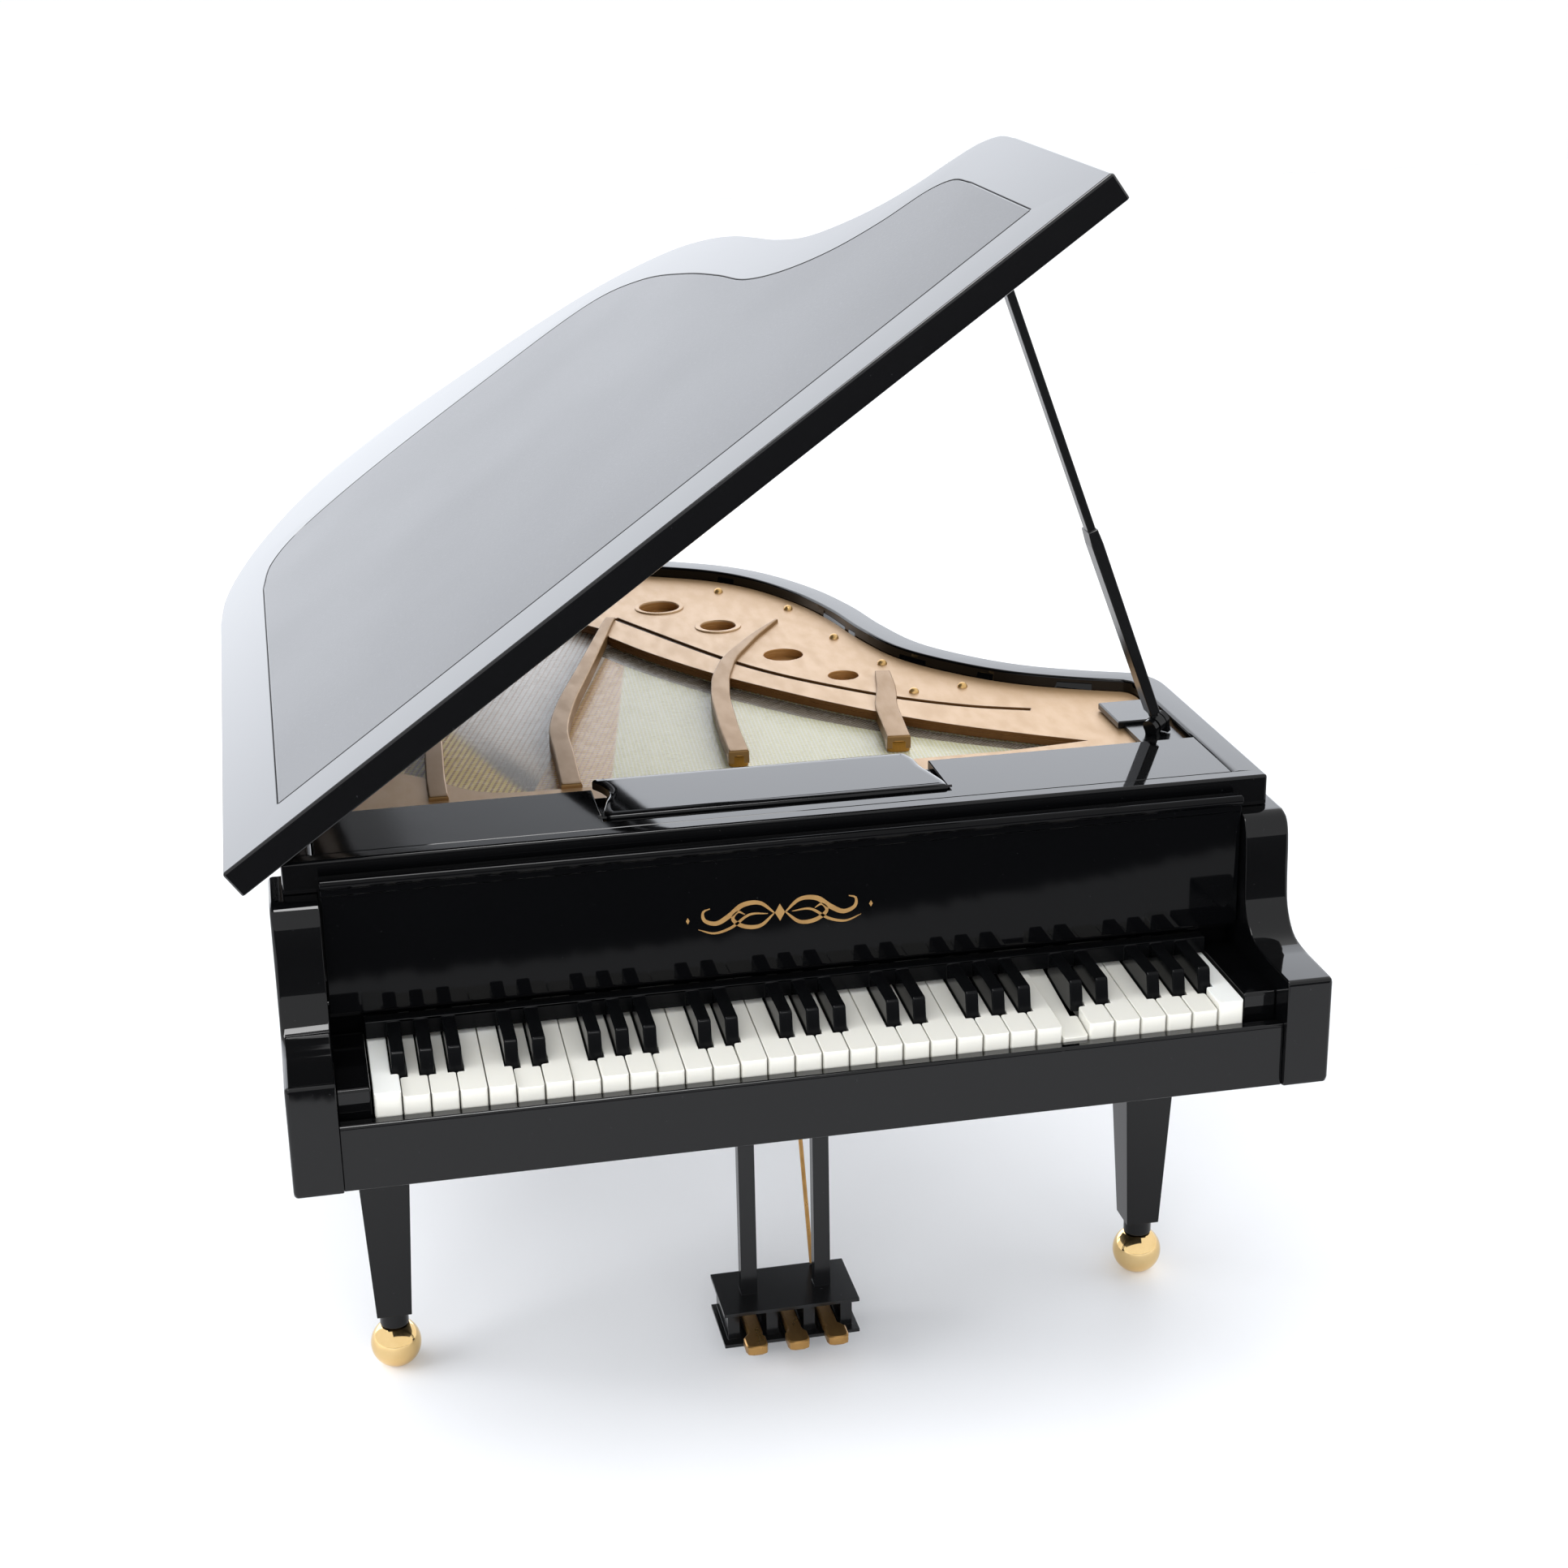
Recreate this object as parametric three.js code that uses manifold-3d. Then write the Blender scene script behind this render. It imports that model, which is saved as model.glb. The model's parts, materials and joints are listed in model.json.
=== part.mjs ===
import * as THREE from 'three';
import { mergeVertices } from 'three/addons/utils/BufferGeometryUtils.js';
import Module from 'manifold-3d';

const wasm = await Module();
wasm.setup();

// Miniature grand piano, millimetres. +X is the treble side, +Y runs from the keys to the tail, +Z is up.

// running gap left between neighbouring pieces
const GAP = 0.3;

// heights
const BODY_BOTTOM = 109;
const ARM_FRONT_TOP = 143;
const ARM_TOP = 180;
const CASE_TOP = 189.5;
const PLATE_TOP = 185.5;
const SHEET_TOP = 181.2;

// cheeks (arms)
const ARM_IN = 136.6;
const ARM_OUT = 150;
const ARM_BACK = 62;

// rim
const RIM_HALF = 146;
const RIM_WALL = 9.2;
const CASE_FRONT = 46.6;
const FRAME_STRIP = 4.9;

// keyboard
const WHITE_COUNT = 32;
const KEY_PITCH = 7.888;
const KEY_LEFT = -126.4;
const KEY_TOP = 135;
const KEY_BOTTOM = 127.4;
const KEY_FRONT = 7.6;
const KEY_BACK = 60;
const KEY_PIVOT_Y = 56;
const KEY_PIVOT_Z = 130.4;
const KEY_TRAVEL = 7;
const NOTCH_FRONT = 19;
const BLACK_HALF = 1.95;
const BLACK_TOP = 140.6;
// semitone pattern of one octave starting at F, true where a black key follows the white key
const BLACK_AFTER = [true, true, true, false, true, true, false];

// lid
const LID_ANGLE = 35.42;
const LID_HALF = 154.4;
const LID_DEPTH = 8.8;
const LID_PLATE = 2.6;
const LID_BOTTOM = 187.5;
const LID_FRONT = 39;
const HINGE_X = -149.75;
const HINGE_Z = 182;

// prop
const PROP_X = 128.5;
const PROP_Y = 97;
const PROP_Z = 190.7;
const PROP_LENGTH = 169.6;
const PROP_DIR = new THREE.Vector3(-0.342, 0, 0.94).normalize();
const PROP_FOLDED = new THREE.Vector3(-0.54, 0.84, 0).normalize();

// legs and pedal lyre
const LEG_X = 123.8;
const LEG_Y = 86.2;
const REAR_LEG = [-52, 318];
const BALL_R = 8;
const BALL_FLAT = 2;
const PEDAL_X = [-12.3, 0.2, 11.9];
const PEDAL_PIVOT_Y = 80;
const PEDAL_PIVOT_Z = 10.6;

const group = new THREE.Group();

const FINISH = {
  gloss: { color: 0x0b0c0e, roughness: 0.08, metalness: 0 },
  satin: { color: 0x15161a, roughness: 0.35, metalness: 0 },
  ivory: { color: 0xf2f1ea, roughness: 0.3, metalness: 0 },
  ebony: { color: 0x121214, roughness: 0.35, metalness: 0 },
  gold: { color: 0xd8b48a, roughness: 0.4, metalness: 0.6 },
  sheet: { color: 0xd8d6b4, roughness: 0.5, metalness: 0 },
  brass: { color: 0xd9a93f, roughness: 0.12, metalness: 1 },
  bronze: { color: 0x9a6a2c, roughness: 0.3, metalness: 0.9 },
};

function toSolid(geometry) {
  const g = geometry.clone();
  g.deleteAttribute('normal');
  g.deleteAttribute('uv');
  const m = mergeVertices(g, 1e-4);
  return new wasm.Manifold(new wasm.Mesh({
    numProp: 3,
    vertProperties: Float32Array.from(m.attributes.position.array),
    triVerts: Uint32Array.from(m.index.array),
  }));
}

function toGeometry(solid) {
  const mesh = solid.getMesh();
  const g = new THREE.BufferGeometry();
  const pos = new Float32Array(mesh.numVert * 3);
  for (let i = 0; i < mesh.numVert; i += 1) {
    for (let k = 0; k < 3; k += 1) {
      pos[i * 3 + k] = mesh.vertProperties[i * mesh.numProp + k];
    }
  }
  g.setAttribute('position', new THREE.BufferAttribute(pos, 3));
  g.setIndex(new THREE.BufferAttribute(Uint32Array.from(mesh.triVerts), 1));
  const flat = g.toNonIndexed();
  flat.computeVertexNormals();
  return flat;
}

function join(...parts) {
  return parts.map((p) => (p.isBufferGeometry ? toSolid(p) : p)).reduce((a, b) => a.add(b));
}

function cut(base, ...tools) {
  const start = base.isBufferGeometry ? toSolid(base) : base;
  return tools.map((p) => (p.isBufferGeometry ? toSolid(p) : p)).reduce((a, b) => a.subtract(b), start);
}

function add(name, item, finish) {
  const geometry = item.isBufferGeometry ? item : toGeometry(item);
  const mesh = new THREE.Mesh(geometry, new THREE.MeshStandardMaterial(FINISH[finish]));
  mesh.name = name;
  group.add(mesh);
  return mesh;
}

function shapeOf(points) {
  return new THREE.Shape(points.map((p) => new THREE.Vector2(p[0], p[1])));
}

// plan outline swept in Z
function prism(points, z0, z1, bevel = 0) {
  const depth = z1 - z0 - 2 * bevel;
  const g = new THREE.ExtrudeGeometry(shapeOf(points), {
    depth,
    bevelEnabled: bevel > 0,
    bevelSize: bevel,
    bevelThickness: bevel,
    bevelOffset: -bevel,
    bevelSegments: 1,
    steps: 1,
  });
  g.translate(0, 0, z0 + bevel);
  return g;
}

// side profile in (y, z) swept in X
function prismX(points, x0, x1, bevel = 0) {
  const g = prism(points, x0, x1, bevel);
  const basis = new THREE.Matrix4().makeBasis(
    new THREE.Vector3(0, 1, 0),
    new THREE.Vector3(0, 0, 1),
    new THREE.Vector3(1, 0, 0),
  );
  g.applyMatrix4(basis);
  return g;
}

// front profile in (x, z) swept in Y
function prismY(points, y0, y1, bevel = 0) {
  const g = prism(points, -y1, -y0, bevel);
  const basis = new THREE.Matrix4().makeBasis(
    new THREE.Vector3(1, 0, 0),
    new THREE.Vector3(0, 0, 1),
    new THREE.Vector3(0, -1, 0),
  );
  g.applyMatrix4(basis);
  return g;
}

function box(x0, x1, y0, y1, z0, z1) {
  const g = new THREE.BoxGeometry(x1 - x0, y1 - y0, z1 - z0);
  g.translate((x0 + x1) / 2, (y0 + y1) / 2, (z0 + z1) / 2);
  return g;
}

function rodX(x0, x1, y, z, r, sides = 12) {
  const g = new THREE.CylinderGeometry(r, r, x1 - x0, sides);
  g.rotateZ(Math.PI / 2);
  g.translate((x0 + x1) / 2, y, z);
  return g;
}

function rodY(x, y0, y1, z, r, sides = 16) {
  const g = new THREE.CylinderGeometry(r, r, y1 - y0, sides);
  g.translate(x, (y0 + y1) / 2, z);
  return g;
}

function rodZ(x, y, z0, z1, r0, r1 = r0, sides = 20) {
  const g = new THREE.CylinderGeometry(r1, r0, z1 - z0, sides);
  g.rotateX(Math.PI / 2);
  g.translate(x, y, (z0 + z1) / 2);
  return g;
}

function arc(cx, cy, r, from, to, steps) {
  const out = [];
  for (let i = 0; i <= steps; i += 1) {
    const a = THREE.MathUtils.degToRad(from + ((to - from) * i) / steps);
    out.push([cx + r * Math.cos(a), cy + r * Math.sin(a)]);
  }
  return out;
}

function curveThrough(points, count) {
  const curve = new THREE.CatmullRomCurve3(
    points.map((p) => new THREE.Vector3(p[0], p[1], 0)),
    false,
    'centripetal',
  );
  return curve.getSpacedPoints(count).map((p) => [p.x, p.y]);
}

// move every vertex of a closed counter-clockwise outline sideways, positive is inward
function inset(points, d) {
  const n = points.length;
  const out = [];
  for (let i = 0; i < n; i += 1) {
    const a = points[(i + n - 1) % n];
    const b = points[i];
    const c = points[(i + 1) % n];
    const e1 = new THREE.Vector2(b[0] - a[0], b[1] - a[1]).normalize();
    const e2 = new THREE.Vector2(c[0] - b[0], c[1] - b[1]).normalize();
    const n1 = new THREE.Vector2(-e1.y, e1.x);
    const n2 = new THREE.Vector2(-e2.y, e2.x);
    const m = n1.clone().add(n2).normalize();
    const k = d / Math.max(0.4, m.dot(n1));
    out.push([b[0] + m.x * k, b[1] + m.y * k]);
  }
  return out;
}

// band of constant width along an open centre line
function ribbon(points, half) {
  const left = [];
  const right = [];
  for (let i = 0; i < points.length; i += 1) {
    const a = points[Math.max(0, i - 1)];
    const c = points[Math.min(points.length - 1, i + 1)];
    const t = new THREE.Vector2(c[0] - a[0], c[1] - a[1]).normalize();
    const h = Array.isArray(half) ? half[i] : half;
    left.push([points[i][0] - t.y * h, points[i][1] + t.x * h]);
    right.unshift([points[i][0] + t.y * h, points[i][1] - t.x * h]);
  }
  return [...right.reverse(), ...left.reverse()];
}

function place(geometry, origin, xAxis, yAxis, zAxis) {
  const m = new THREE.Matrix4().makeBasis(xAxis, yAxis, zAxis);
  m.setPosition(origin);
  geometry.applyMatrix4(m);
  return geometry;
}

// curved part of the rim, from the treble shoulder round the tail to the bass side
const RIM_CURVE = curveThrough([
  [139, 152.5], [122, 160.5], [106, 170.5], [92, 184.5], [79, 203.5], [71.5, 228], [66.5, 254],
  [58, 281], [44, 307], [30, 322], [9, 335], [-28, 351.5], [-74, 367], [-98, 368], [-122, 355],
  [-138, 330], [-145, 306],
], 44);

function rimOutline(half, front) {
  return [
    [-half, front],
    [half, front],
    [half, 139],
    [half - 1.4, 145.5],
    [half - 3.8, 149.6],
    ...RIM_CURVE,
    [-half, 288],
  ];
}

// ---------------------------------------------------------------- case
const outer = rimOutline(RIM_HALF, CASE_FRONT);
const lowerOuter = rimOutline(RIM_HALF, ARM_BACK + GAP);
const inner = inset(outer, RIM_WALL).map((p) => [p[0], p[1] < 70 ? CASE_FRONT + FRAME_STRIP : p[1]]);
const upperRing = cut(prism(outer, ARM_TOP + GAP, CASE_TOP, 0.5), prism(inner, ARM_TOP - 2, CASE_TOP + 2));
const lowerRing = cut(prism(lowerOuter, BODY_BOTTOM, ARM_TOP + 0.6), prism(inner, 100, 200));
const frontWall = join(
  box(-ARM_IN + GAP, ARM_IN - GAP, CASE_FRONT + 0.4, CASE_FRONT + 3.9, 141.5, ARM_TOP + 1),
  box(-ARM_IN + GAP, ARM_IN - GAP, CASE_FRONT, CASE_FRONT + 3.9, 177.5, ARM_TOP + 1),
);
add('case_rim', join(upperRing, lowerRing, frontWall), 'gloss');

const floorOutline = inset(inner, GAP).map((p) => [p[0], Math.max(p[1], ARM_BACK + 1)]);
const floor = prism(floorOutline, BODY_BOTTOM + 0.6, BODY_BOTTOM + 3.6);
const keyBed = box(-ARM_IN + GAP, ARM_IN - GAP, 7.4, ARM_BACK + 3, BODY_BOTTOM + 0.2, BODY_BOTTOM + 3.6);
const bedPosts = [-1, 1].map((s) => box(
  Math.min(s * 127.6, s * 131.6),
  Math.max(s * 127.6, s * 131.6),
  53,
  59,
  BODY_BOTTOM + 2,
  134,
));
const pivotRod = rodX(-129, 129, KEY_PIVOT_Y, KEY_PIVOT_Z, 1.1, 10);
add('bottom_board', join(floor, keyBed, ...bedPosts, pivotRod), 'satin');

// ---------------------------------------------------------------- cheeks
const armProfile = [
  [0, 111],
  [0.6, 109.6],
  [2, BODY_BOTTOM],
  [ARM_BACK, BODY_BOTTOM],
  [ARM_BACK, ARM_TOP],
  [43.6, ARM_TOP],
  [40.6, 179.1],
  [38.6, 177],
  [37.5, 173.6],
  [37, 168],
  [36.7, 160],
  [35.9, 153.6],
  [34, 149.2],
  [30.6, 145.6],
  [26, 143.7],
  [19, ARM_FRONT_TOP],
  [1.6, ARM_FRONT_TOP],
  [0.5, 142.5],
  [0, 141.4],
];
for (const side of [-1, 1]) {
  const x0 = Math.min(side * ARM_IN, side * ARM_OUT);
  const x1 = Math.max(side * ARM_IN, side * ARM_OUT);
  const ends = [side * 130, side * 139.4];
  const stub = rodX(Math.min(...ends), Math.max(...ends), 43.6, 147, 1.5, 12);
  add(side < 0 ? 'left_arm' : 'right_arm', cut(prismX(armProfile, x0, x1, 0.7), stub), 'gloss');
}

const railProfile = [
  [2.2, BODY_BOTTOM],
  [7, BODY_BOTTOM],
  [7, 128.2],
  [3, 128.7],
  [2.5, 128.5],
  [2.2, 128],
];
add('front_rail', prismX(railProfile, -ARM_IN + GAP, ARM_IN - GAP), 'gloss');

const blockProfile = [
  [9.3, 113],
  [45.5, 113],
  [45.5, 136.2],
  [10.1, 136.2],
  [9.5, 135.9],
  [9.3, 135.2],
];
add('left_key_block', prismX(blockProfile, -ARM_IN + GAP, -126.9, 0.3), 'gloss');
add('right_key_block', prismX(blockProfile, 126.5, ARM_IN - GAP, 0.3), 'gloss');

// ---------------------------------------------------------------- keys
function blackAfter(index) {
  return index >= 0 && index < WHITE_COUNT - 1 && BLACK_AFTER[index % 7];
}

// how far each white key hangs at rest, degrees of front-down turn
function restDrop(number) {
  if (number === 1 || number === WHITE_COUNT) {
    return 0;
  }
  if (number === 26) {
    return KEY_TRAVEL;
  }
  if ([6, 8, 11, 12, 13].includes(number)) {
    return 3.4;
  }
  return number <= 5 ? 2.0 : 2.6;
}

for (let i = 0; i < WHITE_COUNT; i += 1) {
  const x0 = KEY_LEFT + i * KEY_PITCH + 0.18;
  const x1 = x0 + KEY_PITCH - 0.36;
  const notchL = blackAfter(i - 1) ? BLACK_HALF + 0.2 : 0;
  const notchR = blackAfter(i) ? BLACK_HALF + 0.2 : 0;
  const r = 0.9;
  const plan = [[x0, KEY_FRONT + r], [x0 + 0.27, KEY_FRONT + 0.27], [x0 + r, KEY_FRONT]];
  plan.push([x1 - r, KEY_FRONT], [x1 - 0.27, KEY_FRONT + 0.27], [x1, KEY_FRONT + r]);
  if (notchR > 0) {
    plan.push([x1, NOTCH_FRONT - 0.5], [x1 - 0.5, NOTCH_FRONT], [x1 - notchR, NOTCH_FRONT]);
    plan.push([x1 - notchR, KEY_BACK]);
  } else {
    plan.push([x1, KEY_BACK]);
  }
  if (notchL > 0) {
    plan.push([x0 + notchL, KEY_BACK], [x0 + notchL, NOTCH_FRONT]);
    plan.push([x0 + 0.5, NOTCH_FRONT], [x0, NOTCH_FRONT - 0.5]);
  } else {
    plan.push([x0, KEY_BACK]);
  }
  const bore = rodX(x0 - 1, x1 + 1, KEY_PIVOT_Y, KEY_PIVOT_Z, 1.5, 8);
  const key = cut(prism(plan, KEY_BOTTOM, KEY_TOP), bore);
  const geometry = toGeometry(key);
  geometry.translate(0, -KEY_PIVOT_Y, -KEY_PIVOT_Z);
  geometry.rotateX(THREE.MathUtils.degToRad(restDrop(i + 1)));
  geometry.translate(0, KEY_PIVOT_Y, KEY_PIVOT_Z);
  add(`white_key_${String(i + 1).padStart(2, '0')}`, geometry, 'ivory');
}

// sharps, moulded in one piece with the bar that carries them
const sharps = [];
for (let i = 0; i < WHITE_COUNT - 1; i += 1) {
  if (blackAfter(i)) {
    const x = KEY_LEFT + (i + 1) * KEY_PITCH;
    const rear = [[19.4, 131.4], [43, 131.4], [43, BLACK_TOP]];
    const side = [...rear, [21.6, BLACK_TOP], [20.8, 140.1], [19.7, 134.6]];
    const lower = prismX(side, x - BLACK_HALF, x + BLACK_HALF, 0.35);
    sharps.push(lower);
  }
}
const sharpBar = box(-126.4, 126, 41.2, 45.8, 135.8, 141);
add('black_key_strip', join(sharpBar, ...sharps), 'ebony');

// ---------------------------------------------------------------- fallboard
const fallProfile = [
  [41.4, 145.2],
  [42.2, 144.4],
  [44.2, 144.4],
  [45, 145.4],
  [45, 184.6],
  [43.8, 186],
  [41.4, 186],
  [40, 185.5],
  [39.5, 184.4],
  [40, 183.3],
  [40.8, 182.9],
  [40.8, 180.9],
  [41.4, 180.4],
];
const fallBody = prismX(fallProfile, -135.9, 135.9, 0.3);
const fallStubs = [-1, 1].map((s) => {
  const ends = [s * 134, s * 138.6];
  return rodX(Math.min(...ends), Math.max(...ends), 43.6, 147, 1.1, 12);
});
add('fallboard', join(fallBody, ...fallStubs), 'gloss');

// ---------------------------------------------------------------- top panel and music desk
const panelBack = 84.6;
const panelPlan = [
  [-136.5, 51.8],
  [136.5, 51.8],
  [136.5, panelBack],
  [50.6, panelBack],
  [50.6, 57.4],
  [-53.3, 57.4],
  [-53.3, panelBack],
  [-136.5, panelBack],
];
const deskAxle = rodX(-54.5, 51.8, 61.2, 189, 0.9, 10);
const recessFloor = box(-53.6, 50.9, 64.9, panelBack - 0.3, 186, 186.7);
add('front_top_panel', join(prism(panelPlan, 186, CASE_TOP, 0.3), deskAxle, recessFloor), 'gloss');

const deskPlan = [
  [-52.6, 58.5],
  [49.9, 58.5],
  [49.3, 66],
  [47, 74],
  [46.6, 82],
  [45.4, 88.8],
  [43.6, 90.4],
  [-51, 90.4],
  [-52.4, 88.8],
];
const deskBore = rodX(-60, 60, 61.2, 189, 1.2, 10);
add('music_desk', cut(prism(deskPlan, 187.4, 190.9, 0.5), deskBore), 'gloss');

// ---------------------------------------------------------------- plate, bars and strings
const plateOutline = inset(inner, GAP);
const rearEdge = curveThrough([
  [106.6, 100.6], [89, 112.2], [66, 129.5], [42.5, 152], [18, 181], [4.3, 202], [-11.6, 239], [-23, 257.5],
], 14);
const opening = [
  [-61, 98.5],
  [79.5, 97.8],
  ...rearEdge,
  [-40, 280],
  [-70, 294],
  [-100, 290],
  [-117, 268],
  [-123, 220],
  [-121, 160],
  [-113, 132],
  [-99, 117],
  [-86, 103],
  [-76, 99.2],
];
const slotLine = curveThrough([
  [98.4, 134.7], [81, 142.6], [59.2, 157.8], [35.2, 181.6],
  [21.6, 198.3], [9.9, 216.9], [-9.3, 254.4], [-18.9, 274],
], 12);
const bars = [
  { line: [[-98, 97], [-97.6, 115], [-95, 160], [-86, 296]], half: [3, 2.9, 2.8, 2.6] },
  { line: [[-57.6, 98], [-54.8, 159], [-22.7, 267], [-21, 272]], half: [3.2, 3.1, 2.6, 1.2] },
  {
    line: [[-2.6, 115], [-1.4, 138], [1.7, 171], [5.5, 191.6], [12.3, 212.3], [25.6, 236], [37.8, 254]],
    half: [3.2, 3.3, 3, 2.8, 2.7, 1.5, 0.5],
  },
  { line: [[49.4, 116], [53, 148], [57.6, 166], [60.6, 184]], half: [3.7, 3.9, 3.6, 2.6] },
];
const barSolids = bars.map((b) => prism(ribbon(b.line, b.half), PLATE_TOP - 3, PLATE_TOP + 1.4));
const feet = [[-98.2, 101], [-57.7, 101.6], [-2.5, 119], [49.6, 119.6]].map(
  (p) => rodZ(p[0], p[1], SHEET_TOP + GAP, PLATE_TOP - 0.8, 3.5, 3.5, 12),
);
const holes = [[-1, 283.5, 7.4, 9.2], [16, 254, 6.4, 8.5], [32.1, 214.4, 6.9, 0], [47.3, 186, 5.2, 0]];
const ringed = holes.filter((h) => h[3] > 0);
const rings = ringed.map((h) => rodZ(h[0], h[1], PLATE_TOP - 1, PLATE_TOP + 0.5, h[3], h[3] - 0.4, 24));
const holeTools = holes.map((h) => rodZ(h[0], h[1], PLATE_TOP - 9, PLATE_TOP + 4, h[2], h[2], 24));
const studs = [[24.3, 298.7], [45.3, 269.1], [53.8, 229.2], [63.2, 195], [66.1, 162], [83.3, 163.4]].map(
  (p) => rodZ(p[0], p[1], PLATE_TOP - 1, PLATE_TOP + 0.9, 1.6, 0.7, 8),
);
const plateBlank = cut(
  prism(plateOutline, PLATE_TOP - 3, PLATE_TOP),
  prism(opening, PLATE_TOP - 9, PLATE_TOP + 9),
  prism(ribbon(slotLine, 0.65), PLATE_TOP - 1.3, PLATE_TOP + 9),
);
const plateTop = join(plateBlank, ...barSolids, ...feet, ...rings, ...studs);
add('gold_plate', cut(plateTop, ...holeTools), 'gold');

const sheetOutline = inset(inner, GAP + 0.2).map((p) => [p[0], Math.max(p[1], 88)]);
add('string_sheet', prism(sheetOutline, SHEET_TOP - 1.2, SHEET_TOP), 'sheet');

// ---------------------------------------------------------------- lid, modelled closed then swung open
const lidTop = LID_BOTTOM + LID_DEPTH;
const lidOutline = [
  [-LID_HALF, LID_FRONT],
  [LID_HALF, LID_FRONT],
  ...curveThrough([
    [LID_HALF, 129], [153, 143.5], [147.6, 152], [139, 156.4],
    [126, 160.6], [114, 168], [103, 179], [92.4, 195],
    [85.4, 218], [81.4, 241], [77.4, 262], [70, 285], [59.5, 305.5], [41, 327], [21, 342.5], [-1, 354],
    [-24, 363], [-47, 371], [-71, 377.6], [-92, 379], [-114, 371.6], [-133, 355], [-145, 335], [-152, 313],
    [-LID_HALF, 286],
  ], 48),
];
const grooveOutline = [
  [-134.5, 59],
  [134.4, 59],
  ...curveThrough([
    [134.4, 122], [132.6, 137], [126, 145], [109, 151], [93, 161], [78, 179], [68, 201], [63, 230],
    [56, 262], [43, 299], [24, 321.5], [-30, 331.5], [-90, 333.5], [-119, 325.5], [-130, 312], [-134.5, 288],
  ], 32),
];
const lidHollow = prism(inset(lidOutline, 2.4), LID_BOTTOM - 5, lidTop - LID_PLATE);
const rimRib = inset(outer, 4.2).map((p) => [p[0], Math.max(p[1], 52)]);
const ribHollow = prism(inset(rimRib, 1.8), CASE_TOP - 5, lidTop + 5);
const ribRing = cut(prism(rimRib, CASE_TOP + 0.5, lidTop - 1), ribHollow);
const grooveRing = cut(
  prism(grooveOutline, lidTop - 0.5, lidTop + 3),
  prism(inset(grooveOutline, 0.8), lidTop - 3, lidTop + 5),
);
const lugYs = [96, 252];
const lugs = lugYs.map((y) => {
  const arm = [
    [HINGE_X - 2, HINGE_Z - 0.6],
    [HINGE_X + 1.5, HINGE_Z + 1.6],
    [-151.6, LID_BOTTOM + 3],
    [-LID_HALF + 0.6, LID_BOTTOM + 3],
    [-LID_HALF + 0.2, LID_BOTTOM + 0.6],
  ];
  return join(prismY(arm, y - 2.6, y + 2.6), rodY(HINGE_X, y - 2.6, y + 2.6, HINGE_Z, 2.3));
});
const lugBores = lugYs.map((y) => rodY(HINGE_X, y - 5, y + 5, HINGE_Z, 1.35, 12));
const lidClosed = cut(
  join(cut(prism(lidOutline, LID_BOTTOM, lidTop, 0.6), lidHollow, grooveRing), ribRing, ...lugs),
  ...lugBores,
);
const lidGeometry = toGeometry(lidClosed);
lidGeometry.translate(-HINGE_X, 0, -HINGE_Z);
lidGeometry.rotateY(THREE.MathUtils.degToRad(-LID_ANGLE));
lidGeometry.translate(HINGE_X, 0, HINGE_Z);
add('lid', lidGeometry, 'gloss');

// hinge strip on the bass side of the rim
const strip = box(-RIM_HALF - 1.1, -RIM_HALF - GAP, 84, 264, 177.6, 186.6);
const cheeks = [];
for (const y of lugYs) {
  for (const s of [-1, 1]) {
    const y0 = Math.min(y + s * 2.9, y + s * 5.4);
    const ear = [
      [-RIM_HALF - 0.8, HINGE_Z - 3.6],
      [-RIM_HALF - 0.8, HINGE_Z + 3.6],
      [HINGE_X, HINGE_Z + 3.4],
      [HINGE_X - 2.4, HINGE_Z + 2.4],
      [HINGE_X - 3.4, HINGE_Z],
      [HINGE_X - 2.4, HINGE_Z - 2.4],
      [HINGE_X, HINGE_Z - 3.4],
    ].reverse();
    cheeks.push(prismY(ear, y0, y0 + 2.5));
  }
  cheeks.push(rodY(HINGE_X, y - 4.5, y + 4.5, HINGE_Z, 1.05, 12));
}
add('lid_hinge_strip', join(strip, ...cheeks), 'satin');

// ---------------------------------------------------------------- lid prop
const propAt = new THREE.Vector3(PROP_X, PROP_Y, PROP_Z);
const propAxis = new THREE.Vector3().crossVectors(PROP_DIR, PROP_FOLDED).normalize();
const side1 = new THREE.Vector3().crossVectors(PROP_DIR, propAxis).normalize();
function discOnAxis(radius, thickness, offset, sides = 16) {
  const g = new THREE.CylinderGeometry(radius, radius, thickness, sides);
  g.rotateX(Math.PI / 2);
  g.translate(0, 0, offset);
  return place(g, propAt, side1, new THREE.Vector3().crossVectors(propAxis, side1), propAxis);
}
const depthAxis = new THREE.Vector3(0, 1, 0);
const widthAxis = new THREE.Vector3().crossVectors(depthAxis, PROP_DIR).normalize();
function stickPart(profile, y0, y1) {
  // profile is given in (width, distance up the stick) and swept in depth
  const g = prism(profile, -y1, -y0, 0.25);
  return place(g, propAt, widthAxis, PROP_DIR, new THREE.Vector3(0, -1, 0));
}
const knuckle = 68;
const upperStick = stickPart(
  [
    [-1.3, knuckle - 6], [1.3, knuckle - 6], [1.3, PROP_LENGTH - 1.4],
    [0.6, PROP_LENGTH], [-0.6, PROP_LENGTH], [-1.3, PROP_LENGTH - 1.4],
  ],
  -2.4,
  2.4,
);
const lowerStick = stickPart(
  [
    [-1.6, 4.2], [1.6, 4.2], [1.9, knuckle - 4],
    [1.6, knuckle + 1], [-1.5, knuckle + 1], [-1.9, knuckle - 4],
  ],
  -3.4,
  4.2,
);
const shank = stickPart([[-1.3, 0.5], [1.3, 0.5], [1.5, 9], [-1.5, 9]], -1.2, 1.2);
const eye = discOnAxis(2.9, 2.8, 0);
const prop = cut(join(upperStick, lowerStick, shank, eye), discOnAxis(1.35, 9, 0, 12));
add('lid_prop', prop, 'satin');

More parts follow.
